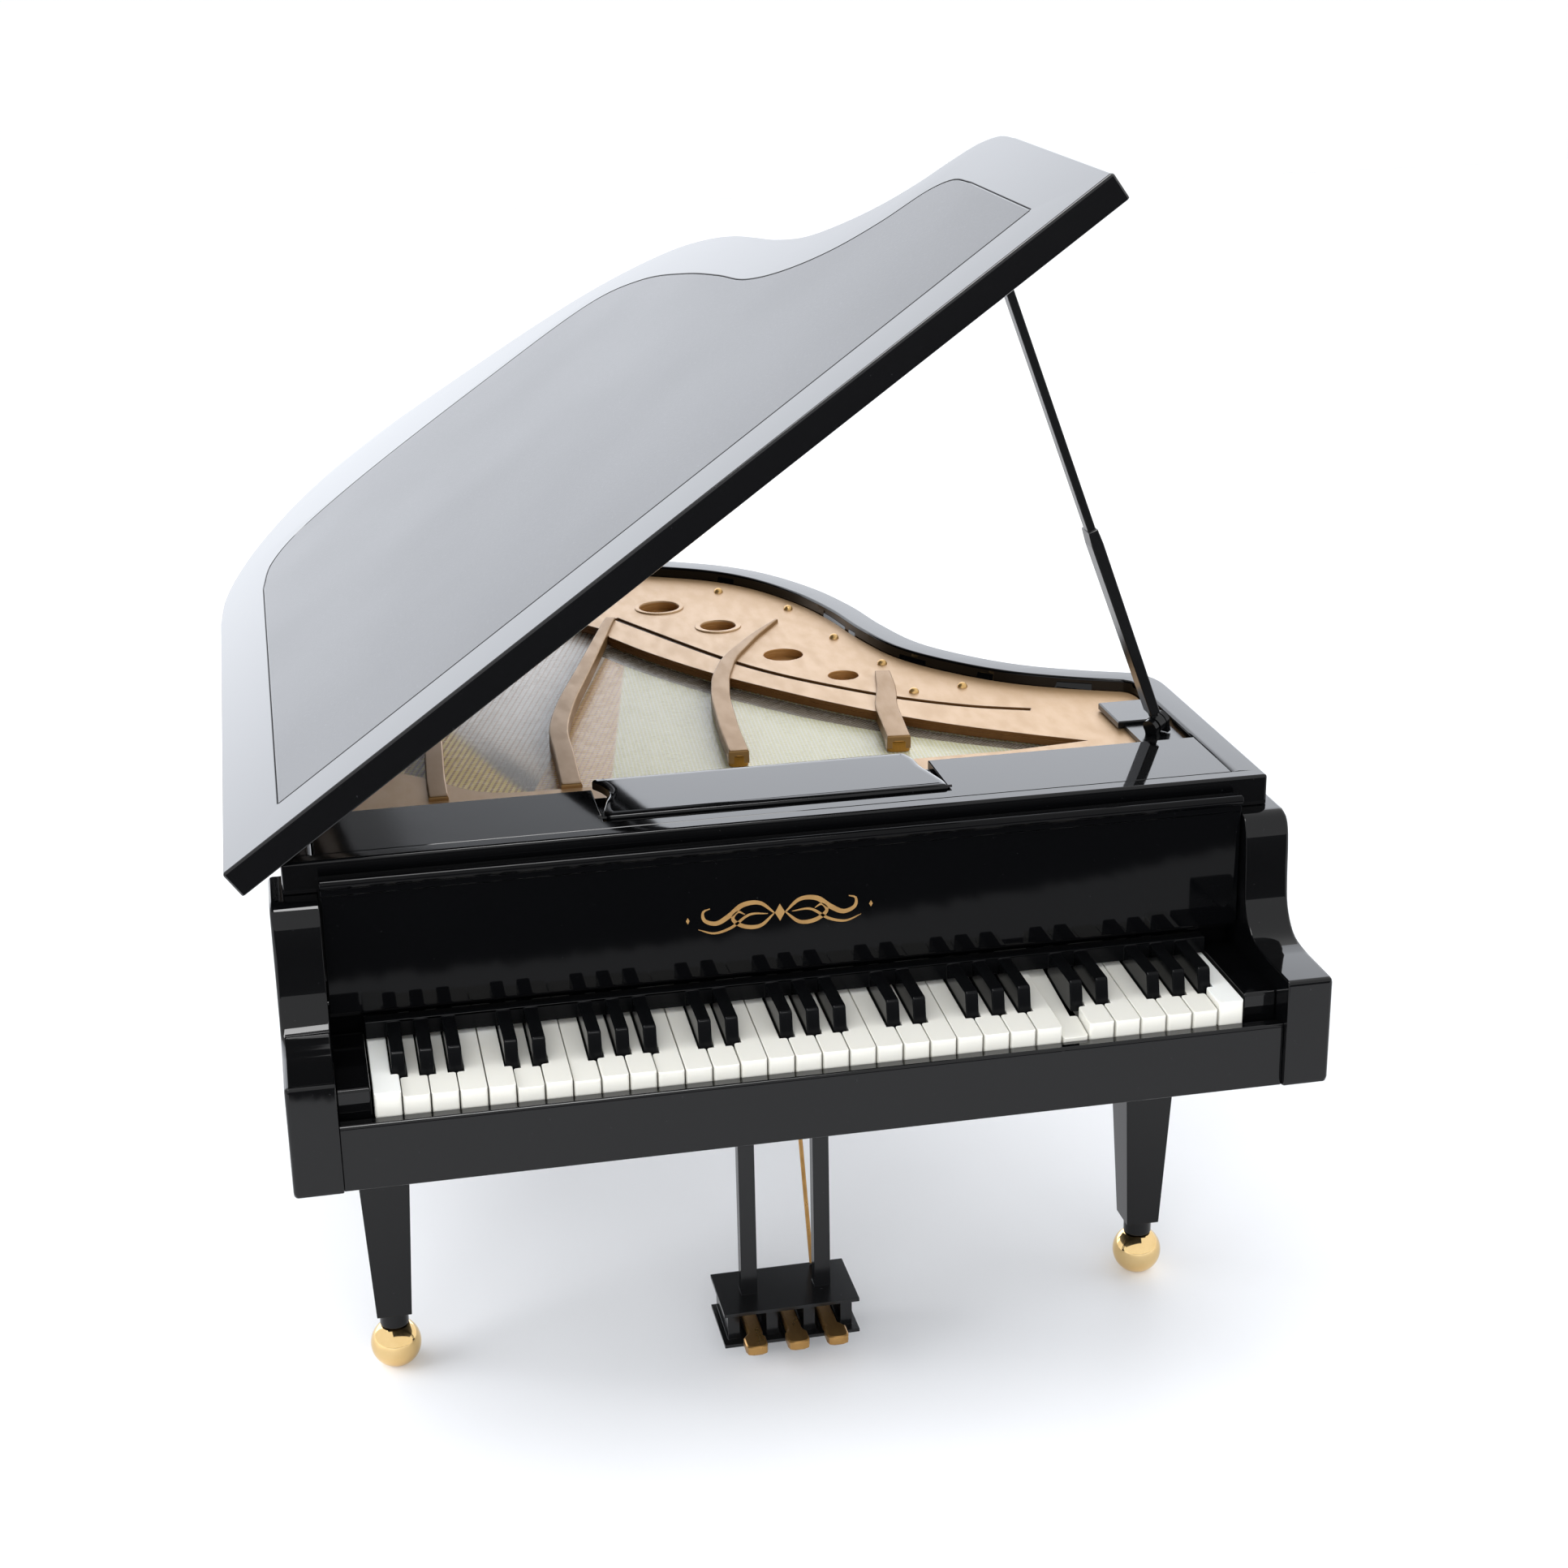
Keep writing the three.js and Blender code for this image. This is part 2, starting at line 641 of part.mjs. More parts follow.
const bracketOutline = [[119.5, 107.6], [134.6, 107.6], [134.6, 127.6], [119.5, 127.6]];
const bracketBlock = prism(bracketOutline, PLATE_TOP + GAP, 188.3, 0.4);
const bracketPad = box(121.5, 135.4, 90.5, 109, PLATE_TOP + GAP, 187.1);
const ears = [-1, 1].map((s) => discOnAxis(2.7, 1.5, s * 2.7));
const earSide = new THREE.Vector3(0, 0, 1).cross(propAxis).normalize();
const earUp = new THREE.Vector3().crossVectors(propAxis, earSide);
const earFeet = [-1, 1].map((s) => {
  const g = new THREE.BoxGeometry(4.6, 4.2, 1.5);
  g.translate(0, -2.1, s * 2.7);
  return place(g, propAt, earSide, earUp, propAxis);
});
const propPin = discOnAxis(1.0, 6.4, 0, 12);
add('prop_bracket', join(bracketBlock, bracketPad, ...ears, ...earFeet, propPin), 'satin');

// ---------------------------------------------------------------- legs and feet
function taperedLeg(x, y) {
  const top = 19.4;
  const bottom = 10.9;
  const z1 = BODY_BOTTOM - GAP;
  const z0 = 20;
  const g = new THREE.CylinderGeometry(top / Math.SQRT2, bottom / Math.SQRT2, z1 - z0, 4, 1);
  g.rotateX(Math.PI / 2);
  g.rotateZ(Math.PI / 4);
  g.translate(x, y, (z0 + z1) / 2);
  const neck = rodZ(x, y, 14.9, z0 + 0.5, 4.6, 4.6, 16);
  return join(g, neck);
}
const ballCentre = Math.sqrt(BALL_R * BALL_R - BALL_FLAT * BALL_FLAT);
function ballFoot(x, y) {
  const profile = [new THREE.Vector2(0, 0), new THREE.Vector2(BALL_FLAT, 0)];
  const from = Math.asin(-ballCentre / BALL_R);
  const to = Math.asin(6.8 / BALL_R);
  const steps = 10;
  for (let i = 1; i <= steps; i += 1) {
    const a = from + ((to - from) * i) / steps;
    profile.push(new THREE.Vector2(BALL_R * Math.cos(a), ballCentre + BALL_R * Math.sin(a)));
  }
  profile.push(new THREE.Vector2(0, ballCentre + 6.8));
  const g = new THREE.LatheGeometry(profile, 20);
  g.rotateX(Math.PI / 2);
  g.translate(x, y, 0);
  return join(g);
}
const legSpots = { left: [-LEG_X, LEG_Y], right: [LEG_X, LEG_Y], rear: REAR_LEG };
for (const [name, spot] of Object.entries(legSpots)) {
  add(`leg_${name}`, taperedLeg(spot[0], spot[1]), 'gloss');
  add(`ball_foot_${name}`, ballFoot(spot[0], spot[1]), 'brass');
}

// ---------------------------------------------------------------- pedal lyre
const posts = [-11.8, 12.1].map((x) => box(x - 2.6, x + 2.6, 70, 74.6, 17.6, BODY_BOTTOM - GAP + 0.2));
const upperShelf = box(-21.9, 21.9, 59.8, 85, 17.4, 18.6);
const lowerShelf = box(-21.9, 21.9, 59.8, 85, 6.3, 7.4);
const spacers = [-18.4, -6, 6.1, 18.2].map((x) => box(x - 1.9, x + 1.9, 63, 84, 6.9, 17.8));
const pedalRod = rodX(-19, 19, PEDAL_PIVOT_Y, PEDAL_PIVOT_Z, 0.9, 10);
add('lyre_frame', join(...posts, upperShelf, lowerShelf, ...spacers, pedalRod), 'satin');

const pedalNames = ['left', 'middle', 'right'];
PEDAL_X.forEach((x, i) => {
  const lean = (i - 1) * 0.9;
  const plan = [
    [x + lean - 3, 49.9],
    [x + lean - 1.4, 49.3],
    [x + lean + 1.4, 49.3],
    [x + lean + 3, 49.9],
    [x + lean + 3.5, 51.4],
    [x + lean + 3.5, 55.6],
    [x + lean + 2.6, 57],
    [x + 2.3, 58.4],
    [x + 2.3, 83.4],
    [x - 2.3, 83.4],
    [x - 2.3, 58.4],
    [x + lean - 2.6, 57],
    [x + lean - 3.5, 55.6],
    [x + lean - 3.5, 51.4],
  ];
  const hole = rodX(x - 5, x + 5, PEDAL_PIVOT_Y, PEDAL_PIVOT_Z, 1.15, 10);
  add(`pedal_${pedalNames[i]}`, cut(prism(plan, 8.9, 12.2, 0.5), hole), 'bronze');
});

const braceFrom = new THREE.Vector3(11.4, 83.6, 19.2);
const braceTo = new THREE.Vector3(11.4, 118, BODY_BOTTOM + 0.2);
const braceDir = braceTo.clone().sub(braceFrom);
const brace = new THREE.CylinderGeometry(0.7, 0.7, braceDir.length(), 10);
const alongBrace = braceDir.clone().normalize();
brace.applyQuaternion(new THREE.Quaternion().setFromUnitVectors(new THREE.Vector3(0, 1, 0), alongBrace));
brace.translate((braceFrom.x + braceTo.x) / 2, (braceFrom.y + braceTo.y) / 2, (braceFrom.z + braceTo.z) / 2);
add('lyre_brace', brace, 'bronze');

// ---------------------------------------------------------------- origin at the bottom centre
const bounds = new THREE.Box3().setFromObject(group);
const shift = new THREE.Vector3(
  -(bounds.min.x + bounds.max.x) / 2,
  -(bounds.min.y + bounds.max.y) / 2,
  -bounds.min.z,
);
for (const mesh of group.children) {
  mesh.geometry.translate(shift.x, shift.y, shift.z);
}

export default group;
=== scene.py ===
import json
import math

import bmesh
import bpy
from mathutils import Matrix, Vector
from mathutils.geometry import tessellate_polygon


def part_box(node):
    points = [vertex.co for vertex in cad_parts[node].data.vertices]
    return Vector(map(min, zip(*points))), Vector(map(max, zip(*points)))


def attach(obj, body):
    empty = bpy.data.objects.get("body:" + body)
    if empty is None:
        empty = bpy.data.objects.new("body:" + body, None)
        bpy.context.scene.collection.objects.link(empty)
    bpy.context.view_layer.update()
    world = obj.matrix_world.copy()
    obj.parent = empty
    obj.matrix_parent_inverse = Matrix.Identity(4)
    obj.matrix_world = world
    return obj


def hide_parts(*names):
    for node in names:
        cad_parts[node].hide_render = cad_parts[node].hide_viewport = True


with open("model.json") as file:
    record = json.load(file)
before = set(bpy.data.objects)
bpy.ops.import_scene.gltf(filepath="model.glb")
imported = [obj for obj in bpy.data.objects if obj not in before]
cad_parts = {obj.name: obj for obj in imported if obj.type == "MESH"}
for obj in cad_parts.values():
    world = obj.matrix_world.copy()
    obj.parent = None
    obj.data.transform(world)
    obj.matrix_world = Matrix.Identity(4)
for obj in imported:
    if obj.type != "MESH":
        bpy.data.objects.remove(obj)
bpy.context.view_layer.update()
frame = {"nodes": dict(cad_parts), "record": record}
NODES = frame["nodes"]
BODY_OF = {n: b for b, names in frame["record"]["behaviour"]["bodies"].items() for n in names}

# Lengths below are millimetres in the piano's own frame: x = 0 half way between the cheeks,
# y = 0 at the front of the cheeks, z = 0 under the feet. O moves them into the row frame.
arm_l, arm_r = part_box("left_arm"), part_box("right_arm")
O = Vector(((arm_l[0].x + arm_r[1].x) / 2, arm_l[0].y, arm_l[0].z - 0.109))

CASE_TOP = 189.5
CASE_BOTTOM = 109
CASE_HALF = 146  # half the width over the rim
CASE_FRONT = 46.6
RIM_STEP = 180.3  # the rim's front stands further forward above this height
RIM_WALL = 9.2
PLATE_TOP = 185.5
PLATE_STEP = 184.3  # the slot is cut down to here
PLATE_UNDER = 182.5
SHEET_TOP = 181.2
KEY_TOP = (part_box("white_key_10")[1].z - O.z) * 1000
LID_ANGLE = 35.42  # degrees, from closed to where the prop holds it
HINGE = (-149.75, 182.0)  # x and z of the lid's hinge line


def to_row(p):
    return O + Vector(p) / 1000


# ------------------------------------------------------------------ plane curves
def spline(points, count):
    """Centripetal Catmull-Rom through the points, sampled evenly by length."""
    pts = [Vector(p[:2]) for p in points]
    pts = [2 * pts[0] - pts[1], *pts, 2 * pts[-1] - pts[-2]]
    fine = []
    for i in range(1, len(pts) - 2):
        p0, p1, p2, p3 = pts[i - 1 : i + 3]
        d0, d1, d2 = (max((b - a).length, 1e-6) ** 0.5 for a, b in ((p0, p1), (p1, p2), (p2, p3)))
        t1 = ((p1 - p0) / d0 - (p2 - p0) / (d0 + d1) + (p2 - p1) / d1) * d1
        t2 = ((p2 - p1) / d1 - (p3 - p1) / (d1 + d2) + (p3 - p2) / d2) * d1
        for k in range(40):
            s = k / 40
            a = 2 * s**3 - 3 * s**2 + 1
            b = s**3 - 2 * s**2 + s
            c = -2 * s**3 + 3 * s**2
            d = s**3 - s**2
            fine.append(p1 * a + t1 * b + p2 * c + t2 * d)
    fine.append(pts[-2])
    run = [0.0]
    for a, b in zip(fine, fine[1:]):
        run.append(run[-1] + (b - a).length)
    out, j = [], 0
    for i in range(count + 1):
        want = run[-1] * i / count
        while j < len(run) - 2 and run[j + 1] < want:
            j += 1
        f = (want - run[j]) / max(run[j + 1] - run[j], 1e-9)
        q = fine[j].lerp(fine[j + 1], min(max(f, 0), 1))
        out.append((q.x, q.y))
    return out


def arc(cx, cy, r, a0, a1, n):
    step = math.radians(a1 - a0) / n
    return [(cx + r * math.cos(math.radians(a0) + i * step), cy + r * math.sin(math.radians(a0) + i * step))
            for i in range(n + 1)]


def circle(cx, cy, r, n=48):
    return arc(cx, cy, r, 0, 360, n)[:-1]


def inset(loop, d):
    """Moves a closed counter-clockwise loop inward by d."""
    n, out = len(loop), []
    for i in range(n):
        a, b, c = Vector(loop[i - 1]), Vector(loop[i]), Vector(loop[(i + 1) % n])
        e1, e2 = (b - a).normalized(), (c - b).normalized()
        n1, n2 = Vector((-e1.y, e1.x)), Vector((-e2.y, e2.x))
        m = (n1 + n2).normalized()
        q = b + m * (d / max(0.4, m.dot(n1)))
        out.append((q.x, q.y))
    return out


def area(loop):
    return sum(a[0] * b[1] - b[0] * a[1] for a, b in zip(loop, loop[1:] + loop[:1])) / 2


def ccw(loop):
    return loop if area(loop) > 0 else loop[::-1]


def rounded(loop, r, n):
    """Rounds the corners of a coarse closed loop."""
    out, m = [], len(loop)
    for i in range(m):
        a, b, c = Vector(loop[i - 1]), Vector(loop[i]), Vector(loop[(i + 1) % m])
        ra = min(r, (a - b).length * 0.45, (c - b).length * 0.45)
        p, q = b + (a - b).normalized() * ra, b + (c - b).normalized() * ra
        for k in range(n + 1):
            t = k / n
            v = p * (1 - t) ** 2 + b * 2 * t * (1 - t) + q * t * t
            out.append((v.x, v.y))
    return out


def heading(line, i):
    """The direction of a line of points at point i."""
    a, c = line[max(0, i - 1)], line[min(len(line) - 1, i + 1)]
    return (Vector(c) - Vector(a)).normalized()


def ribbon(line, half):
    """A closed strip round a line. half is a width, or a function of the place from 0 to 1."""
    left, right = [], []
    for i, p in enumerate(line):
        t = heading(line, i)
        h = half(i / (len(line) - 1)) if callable(half) else half
        left.append((p[0] - t.y * h, p[1] + t.x * h))
        right.append((p[0] + t.y * h, p[1] - t.x * h))
    return right + left[::-1]


# ------------------------------------------------------------------ mesh building
def add_object(name, data):
    obj = bpy.data.objects.new(name, data)
    bpy.context.scene.collection.objects.link(obj)
    return obj


class Shell:
    """Collects rings of points and the faces between them."""

    def __init__(self):
        self.verts, self.faces, self.slots = [], [], []

    def ring(self, loop, z):
        start = len(self.verts)
        self.verts += [(p[0], p[1], z) for p in loop]
        return list(range(start, len(self.verts)))

    def strip(self, low, high, slot=0, flip=False):
        n = len(low)
        for i in range(n):
            f = [low[i], low[(i + 1) % n], high[(i + 1) % n], high[i]]
            self.faces.append(f[::-1] if flip else f)
            self.slots.append(slot)

    def stack(self, rings, slot=0, flip=False):
        for low, high in zip(rings, rings[1:]):
            self.strip(low, high, slot, flip)

    def cap(self, rings, slot=0, up=True):
        pts = [[Vector((self.verts[i][0], self.verts[i][1], 0)) for i in r] for r in rings]
        flat = [i for r in rings for i in r]
        for tri in tessellate_polygon(pts):
            f = [flat[k] for k in tri]
            a, b, c = (self.verts[i] for i in f)
            turn = (b[0] - a[0]) * (c[1] - a[1]) - (c[0] - a[0]) * (b[1] - a[1])
            self.faces.append(f if (turn > 0) == up else f[::-1])
            self.slots.append(slot)

    def object(self, name, materials, swap=None, sharp=38):
        mesh = bpy.data.meshes.new(name)
        put = swap or (lambda p: p)
        mesh.from_pydata([to_row(put(v)) for v in self.verts], [], self.faces)
        for m in materials:
            mesh.materials.append(m)
        for poly, s in zip(mesh.polygons, self.slots):
            poly.material_index = s
        obj = add_object(name, mesh)
        finish_mesh(obj, sharp)
        return obj


def finish_mesh(obj, sharp):
    """Merges doubled points and shades smooth, with edges over sharp degrees kept."""
    bm = bmesh.new()
    bm.from_mesh(obj.data)
    bmesh.ops.remove_doubles(bm, verts=bm.verts, dist=1e-7)
    bmesh.ops.recalc_face_normals(bm, faces=bm.faces)
    bm.to_mesh(obj.data)
    bm.free()
    obj.data.shade_smooth()
    obj.data.set_sharp_from_angle(angle=math.radians(sharp))
    mod = obj.modifiers.new("even_normals", "WEIGHTED_NORMAL")
    mod.keep_sharp = True


def edge_steps(size, n=3):
    """(inset, drop) pairs round a quarter-circle edge, from the side up to the face."""
    return [(size * (1 - math.cos(math.pi / 2 * k / n)), size * (1 - math.sin(math.pi / 2 * k / n)))
            for k in range(n + 1)]


def slab(outer, holes, z0, z1, top=0.4, bottom=0.4, side_slot=0, shell=None, top_slot=0):
    """A flat part with rounded edges on its outline and on every hole."""
    s = shell or Shell()
    caps_low, caps_high = [], []
    side_slots = side_slot if isinstance(side_slot, list) else [side_slot] * (len(holes) + 1)
    for k, loop in enumerate([ccw(outer)] + [ccw(h) for h in holes]):
        sign = 1 if k == 0 else -1
        rings = []
        for d, drop in reversed(edge_steps(bottom) if bottom else [(0, 0)]):
            rings.append(s.ring(inset(loop, sign * d), z0 + drop))
        for d, drop in (edge_steps(top) if top else [(0, 0)]):
            rings.append(s.ring(inset(loop, sign * d), z1 - drop))
        s.stack(rings, side_slots[k], flip=k > 0)
        caps_low.append(rings[0])
        caps_high.append(rings[-1])
    s.cap(caps_low, side_slots[0], up=False)
    s.cap(caps_high, top_slot, up=True)
    return s


def along_x(p):
    """Turns a shape drawn in (y, z) and swept in x into place."""
    return (p[2], p[0], p[1])


def along_y(p):
    return (p[0], -p[2], p[1])


def join_objects(name, objs):
    for o in bpy.context.selected_objects:
        o.select_set(False)
    for o in objs:
        o.select_set(True)
    bpy.context.view_layer.objects.active = objs[0]
    bpy.ops.object.join()
    objs[0].name = name
    return objs[0]


def stands_for(obj, node):
    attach(obj, BODY_OF[node])
    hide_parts(node)
    return obj


def softened(node, material, width, angle=30):
    """A copy of a CAD node with flat faces merged, its material, and edges rounded unless width is 0."""
    mesh = NODES[node].data.copy()
    mesh.name = "soft_" + node
    obj = add_object("soft_" + node, mesh)
    mesh.materials.clear()
    mesh.materials.append(material)
    bm = bmesh.new()
    bm.from_mesh(mesh)
    bmesh.ops.remove_doubles(bm, verts=bm.verts, dist=2e-6)
    bmesh.ops.dissolve_limit(bm, angle_limit=math.radians(0.6), verts=bm.verts, edges=bm.edges)
    bm.to_mesh(mesh)
    bm.free()
    mesh.shade_smooth()
    mesh.set_sharp_from_angle(angle=math.radians(40))
    if width:
        bev = obj.modifiers.new("round", "BEVEL")
        bev.width = width / 1000
        bev.segments = 3
        bev.limit_method = "ANGLE"
        bev.angle_limit = math.radians(angle)
        bev.use_clamp_overlap = True
        bev.harden_normals = False
    mod = obj.modifiers.new("even_normals", "WEIGHTED_NORMAL")
    mod.keep_sharp = True
    return stands_for(obj, node)


# ------------------------------------------------------------------ materials
class Look:
    """A material and short calls for the nodes that shade it."""

    def __init__(self, name):
        self.mat = bpy.data.materials.new(name)
        self.mat.use_nodes = True
        self.tree = self.mat.node_tree
        self.bsdf = self.tree.nodes["Principled BSDF"]
        self.place = self.new("ShaderNodeTexCoord").outputs["Object"]

    def new(self, kind, **values):
        node = self.tree.nodes.new(kind)
        for k, v in values.items():
            setattr(node, k, v)
        return node

    def feed(self, socket, value):
        if hasattr(value, "is_linked"):
            self.tree.links.new(value, socket)
        else:
            socket.default_value = value

    def calc(self, op, a, b=0.0, c=0.0):
        n = self.new("ShaderNodeMath", operation=op)
        for i, v in enumerate((a, b, c)):
            self.feed(n.inputs[i], v)
        return n.outputs[0]

    def blend(self, f, a, b):
        n = self.new("ShaderNodeMix", data_type="RGBA")
        self.feed(n.inputs[0], f)
        for i, v in ((6, a), (7, b)):
            self.feed(n.inputs[i], (*v, 1) if isinstance(v, tuple) and len(v) == 3 else v)
        return n.outputs[2]

    def over(self, base, mask, amount, colour):
        """base, with amount of a colour over it where mask is 1."""
        return self.blend(self.calc("MULTIPLY", mask, amount), base, colour)

    def noise(self, scale, detail=2.0, rough=0.5, at=None):
        n = self.new("ShaderNodeTexNoise")
        self.feed(n.inputs["Vector"], at or self.place)
        n.inputs["Scale"].default_value = scale
        n.inputs["Detail"].default_value = detail
        n.inputs["Roughness"].default_value = rough
        return n.outputs["Fac"]

    def span(self, v, a, b, lo=0.0, hi=1.0):
        n = self.new("ShaderNodeMapRange", interpolation_type="SMOOTHSTEP")
        for k, x in zip(("Value", "From Min", "From Max", "To Min", "To Max"), (v, a, b, lo, hi)):
            self.feed(n.inputs[k], x)
        return n.outputs[0]

    def scaled(self, x, y, z):
        n = self.new("ShaderNodeMapping")
        self.feed(n.inputs["Vector"], self.place)
        n.inputs["Scale"].default_value = (x, y, z)
        return n.outputs[0]

    def bump(self, height, strength, mm):
        n = self.new("ShaderNodeBump")
        n.inputs["Strength"].default_value = strength
        n.inputs["Distance"].default_value = mm / 1000
        self.feed(n.inputs["Height"], height)
        return n.outputs[0]

    def xyz(self):
        """The place in the piano's own frame, in millimetres."""
        n = self.new("ShaderNodeSeparateXYZ")
        self.feed(n.inputs[0], self.place)
        return [self.calc("MULTIPLY_ADD", n.outputs[i], 1000.0, -O[i] * 1000) for i in range(3)]

    def lines(self, u, pitch, width):
        """1 on thin lines across u, 0 between them."""
        t = self.calc("PINGPONG", u, pitch / 2)
        return self.span(t, width / 2, width / 2 + 0.12, 1.0, 0.0)

    def set(self, **sockets):
        for k, v in sockets.items():
            s = self.bsdf.inputs[k.replace("_", " ")]
            self.feed(s, (*v, 1) if isinstance(v, tuple) and len(v) == 3 and s.type == "RGBA" else v)
        return self.mat


def make_gloss(name, base, rough, dust=0.25, wave=0.02, level=0.33):
    k = Look(name)
    cloud = k.noise(38, 3, 0.55)
    specks = k.span(k.noise(1100, 1, 0.4), 0.76, 0.84)
    smear = k.span(k.noise(22, 4, 0.7), 0.45, 0.8)
    colour = k.over(base, specks, 0.3 * dust, (0.16, 0.165, 0.175))
    colour = k.over(colour, cloud, 0.25, tuple(min(1, c * 1.5 + 0.001) for c in base))
    r = k.calc("MULTIPLY_ADD", smear, 0.05 * dust, rough)
    r = k.calc("MULTIPLY_ADD", specks, 0.25 * dust, r)
    return k.set(Base_Color=colour, Roughness=r, Specular_IOR_Level=level,
                 Normal=k.bump(k.noise(60, 1, 0.4), wave, 0.6))


GLOSS = make_gloss("black_gloss", (0.0016, 0.0017, 0.002), 0.04)
GLOSS_SIDE = make_gloss("black_gloss_lid", (0.002, 0.0021, 0.0025), 0.06, dust=0.4, wave=0.0, level=0.5)
GLOSS_FRONT = make_gloss("black_gloss_fallboard", (0.0014, 0.0015, 0.0018), 0.045, level=0.12)
SATIN = make_gloss("black_satin", (0.0035, 0.0037, 0.0042), 0.2, dust=0.3, level=0.4)
EBONY = make_gloss("black_keys", (0.0026, 0.0028, 0.0032), 0.15, dust=0.2, level=0.09)


def make_lid_panel():
    k = Look("lid_speckled")
    grain = k.noise(1250, 3, 0.65)
    patch = k.noise(9, 2, 0.5)
    fleck = k.span(k.noise(1900, 1, 0.3), 0.66, 0.78)
    colour = k.blend(grain, (0.009, 0.0095, 0.011), (0.034, 0.035, 0.039))
    colour = k.over(colour, fleck, 0.35, (0.16, 0.165, 0.18))
    r = k.span(patch, 0.3, 0.7, 0.33, 0.36)
    return k.set(Base_Color=colour, Roughness=r, Specular_IOR_Level=0.5, Normal=k.bump(grain, 0.34, 0.09))


def make_ivory():
    k = Look("ivory")
    warm = k.noise(30, 2, 0.5)
    colour = k.blend(warm, (0.90, 0.915, 0.885), (0.92, 0.935, 0.905))
    # painted shade: faces more than 1 mm below the key tops, the fronts and sides, get a darker cream
    front = k.span(k.xyz()[2], KEY_TOP - 1.0, KEY_TOP - 0.4, 1.0, 0.0)
    colour = k.over(colour, front, 0.8, (0.74, 0.725, 0.66))
    grime = k.span(k.noise(420, 4, 0.7), 0.70, 0.85)
    colour = k.over(colour, grime, 0.08, (0.5, 0.47, 0.4))
    return k.set(Base_Color=colour, Roughness=k.span(warm, 0.3, 0.7, 0.2, 0.26),
                 Normal=k.bump(k.noise(120, 1), 0.03, 0.15),
                 Subsurface_Weight=0.15, Subsurface_Scale=0.0008, Subsurface_Radius=(1.0, 0.9, 0.75))


def make_plate_gold(name, base, dark, metal, rough, level=0.5):
    k = Look(name)
    brushed = k.noise(260, 3, 0.6, k.scaled(1, 0.35, 1))
    cloud = k.noise(30, 2)
    colour = k.blend(k.span(brushed, 0.3, 0.75), base, dark)
    colour = k.over(colour, k.span(cloud, 0.35, 0.7), 0.35, dark)
    return k.set(Base_Color=colour, Metallic=metal, Roughness=k.span(brushed, 0.3, 0.7, rough, rough + 0.08),
                 Normal=k.bump(brushed, 0.06, 0.03), Specular_IOR_Level=level)


PLATE = make_plate_gold("plate_gold", (0.53, 0.345, 0.185), (0.515, 0.333, 0.176), 0.45, 0.38)
EDGE = make_plate_gold("plate_edge_bronze", (0.42, 0.215, 0.068), (0.39, 0.197, 0.06), 0.4, 0.3)
# painted shade: a darker copy of the edge bronze, for the walls of the opening and the slot; the hole walls keep
# the lighter edge bronze
SHADED_WALL = make_plate_gold("plate_wall_bronze_painted_shade", (0.13, 0.058, 0.017), (0.11, 0.048, 0.014), 0.2, 0.35, level=0.2)
# painted shade: near-black brown for the floor of the slot
SLOT_SHADE = make_plate_gold("slot_painted_shade", (0.075, 0.036, 0.014), (0.06, 0.028, 0.011), 0.2, 0.5)
BAR = make_plate_gold("bar_copper_gold", (0.285, 0.165, 0.066), (0.275, 0.158, 0.062), 0.55, 0.33, level=0.1)
FOOT = make_plate_gold("bar_foot_gold", (0.46, 0.235, 0.055), (0.40, 0.20, 0.045), 1.0, 0.12)
STUD = make_plate_gold("stud_gold", (0.70, 0.45, 0.18), (0.64, 0.40, 0.15), 0.8, 0.3)
BRONZE = make_plate_gold("pedal_bronze", (0.50, 0.29, 0.10), (0.38, 0.21, 0.07), 0.9, 0.27)


def make_brass():
    k = Look("polished_gold")
    haze = k.span(k.noise(70, 4, 0.6), 0.35, 0.75)
    scratch = k.noise(700, 2, 0.5, k.scaled(0.2, 1, 1))
    colour = k.blend(haze, (0.94, 0.69, 0.34), (0.86, 0.60, 0.27))
    return k.set(Base_Color=colour, Metallic=1.0, Roughness=k.calc("MULTIPLY_ADD", haze, 0.06, 0.05),
                 Normal=k.bump(scratch, 0.02, 0.05))


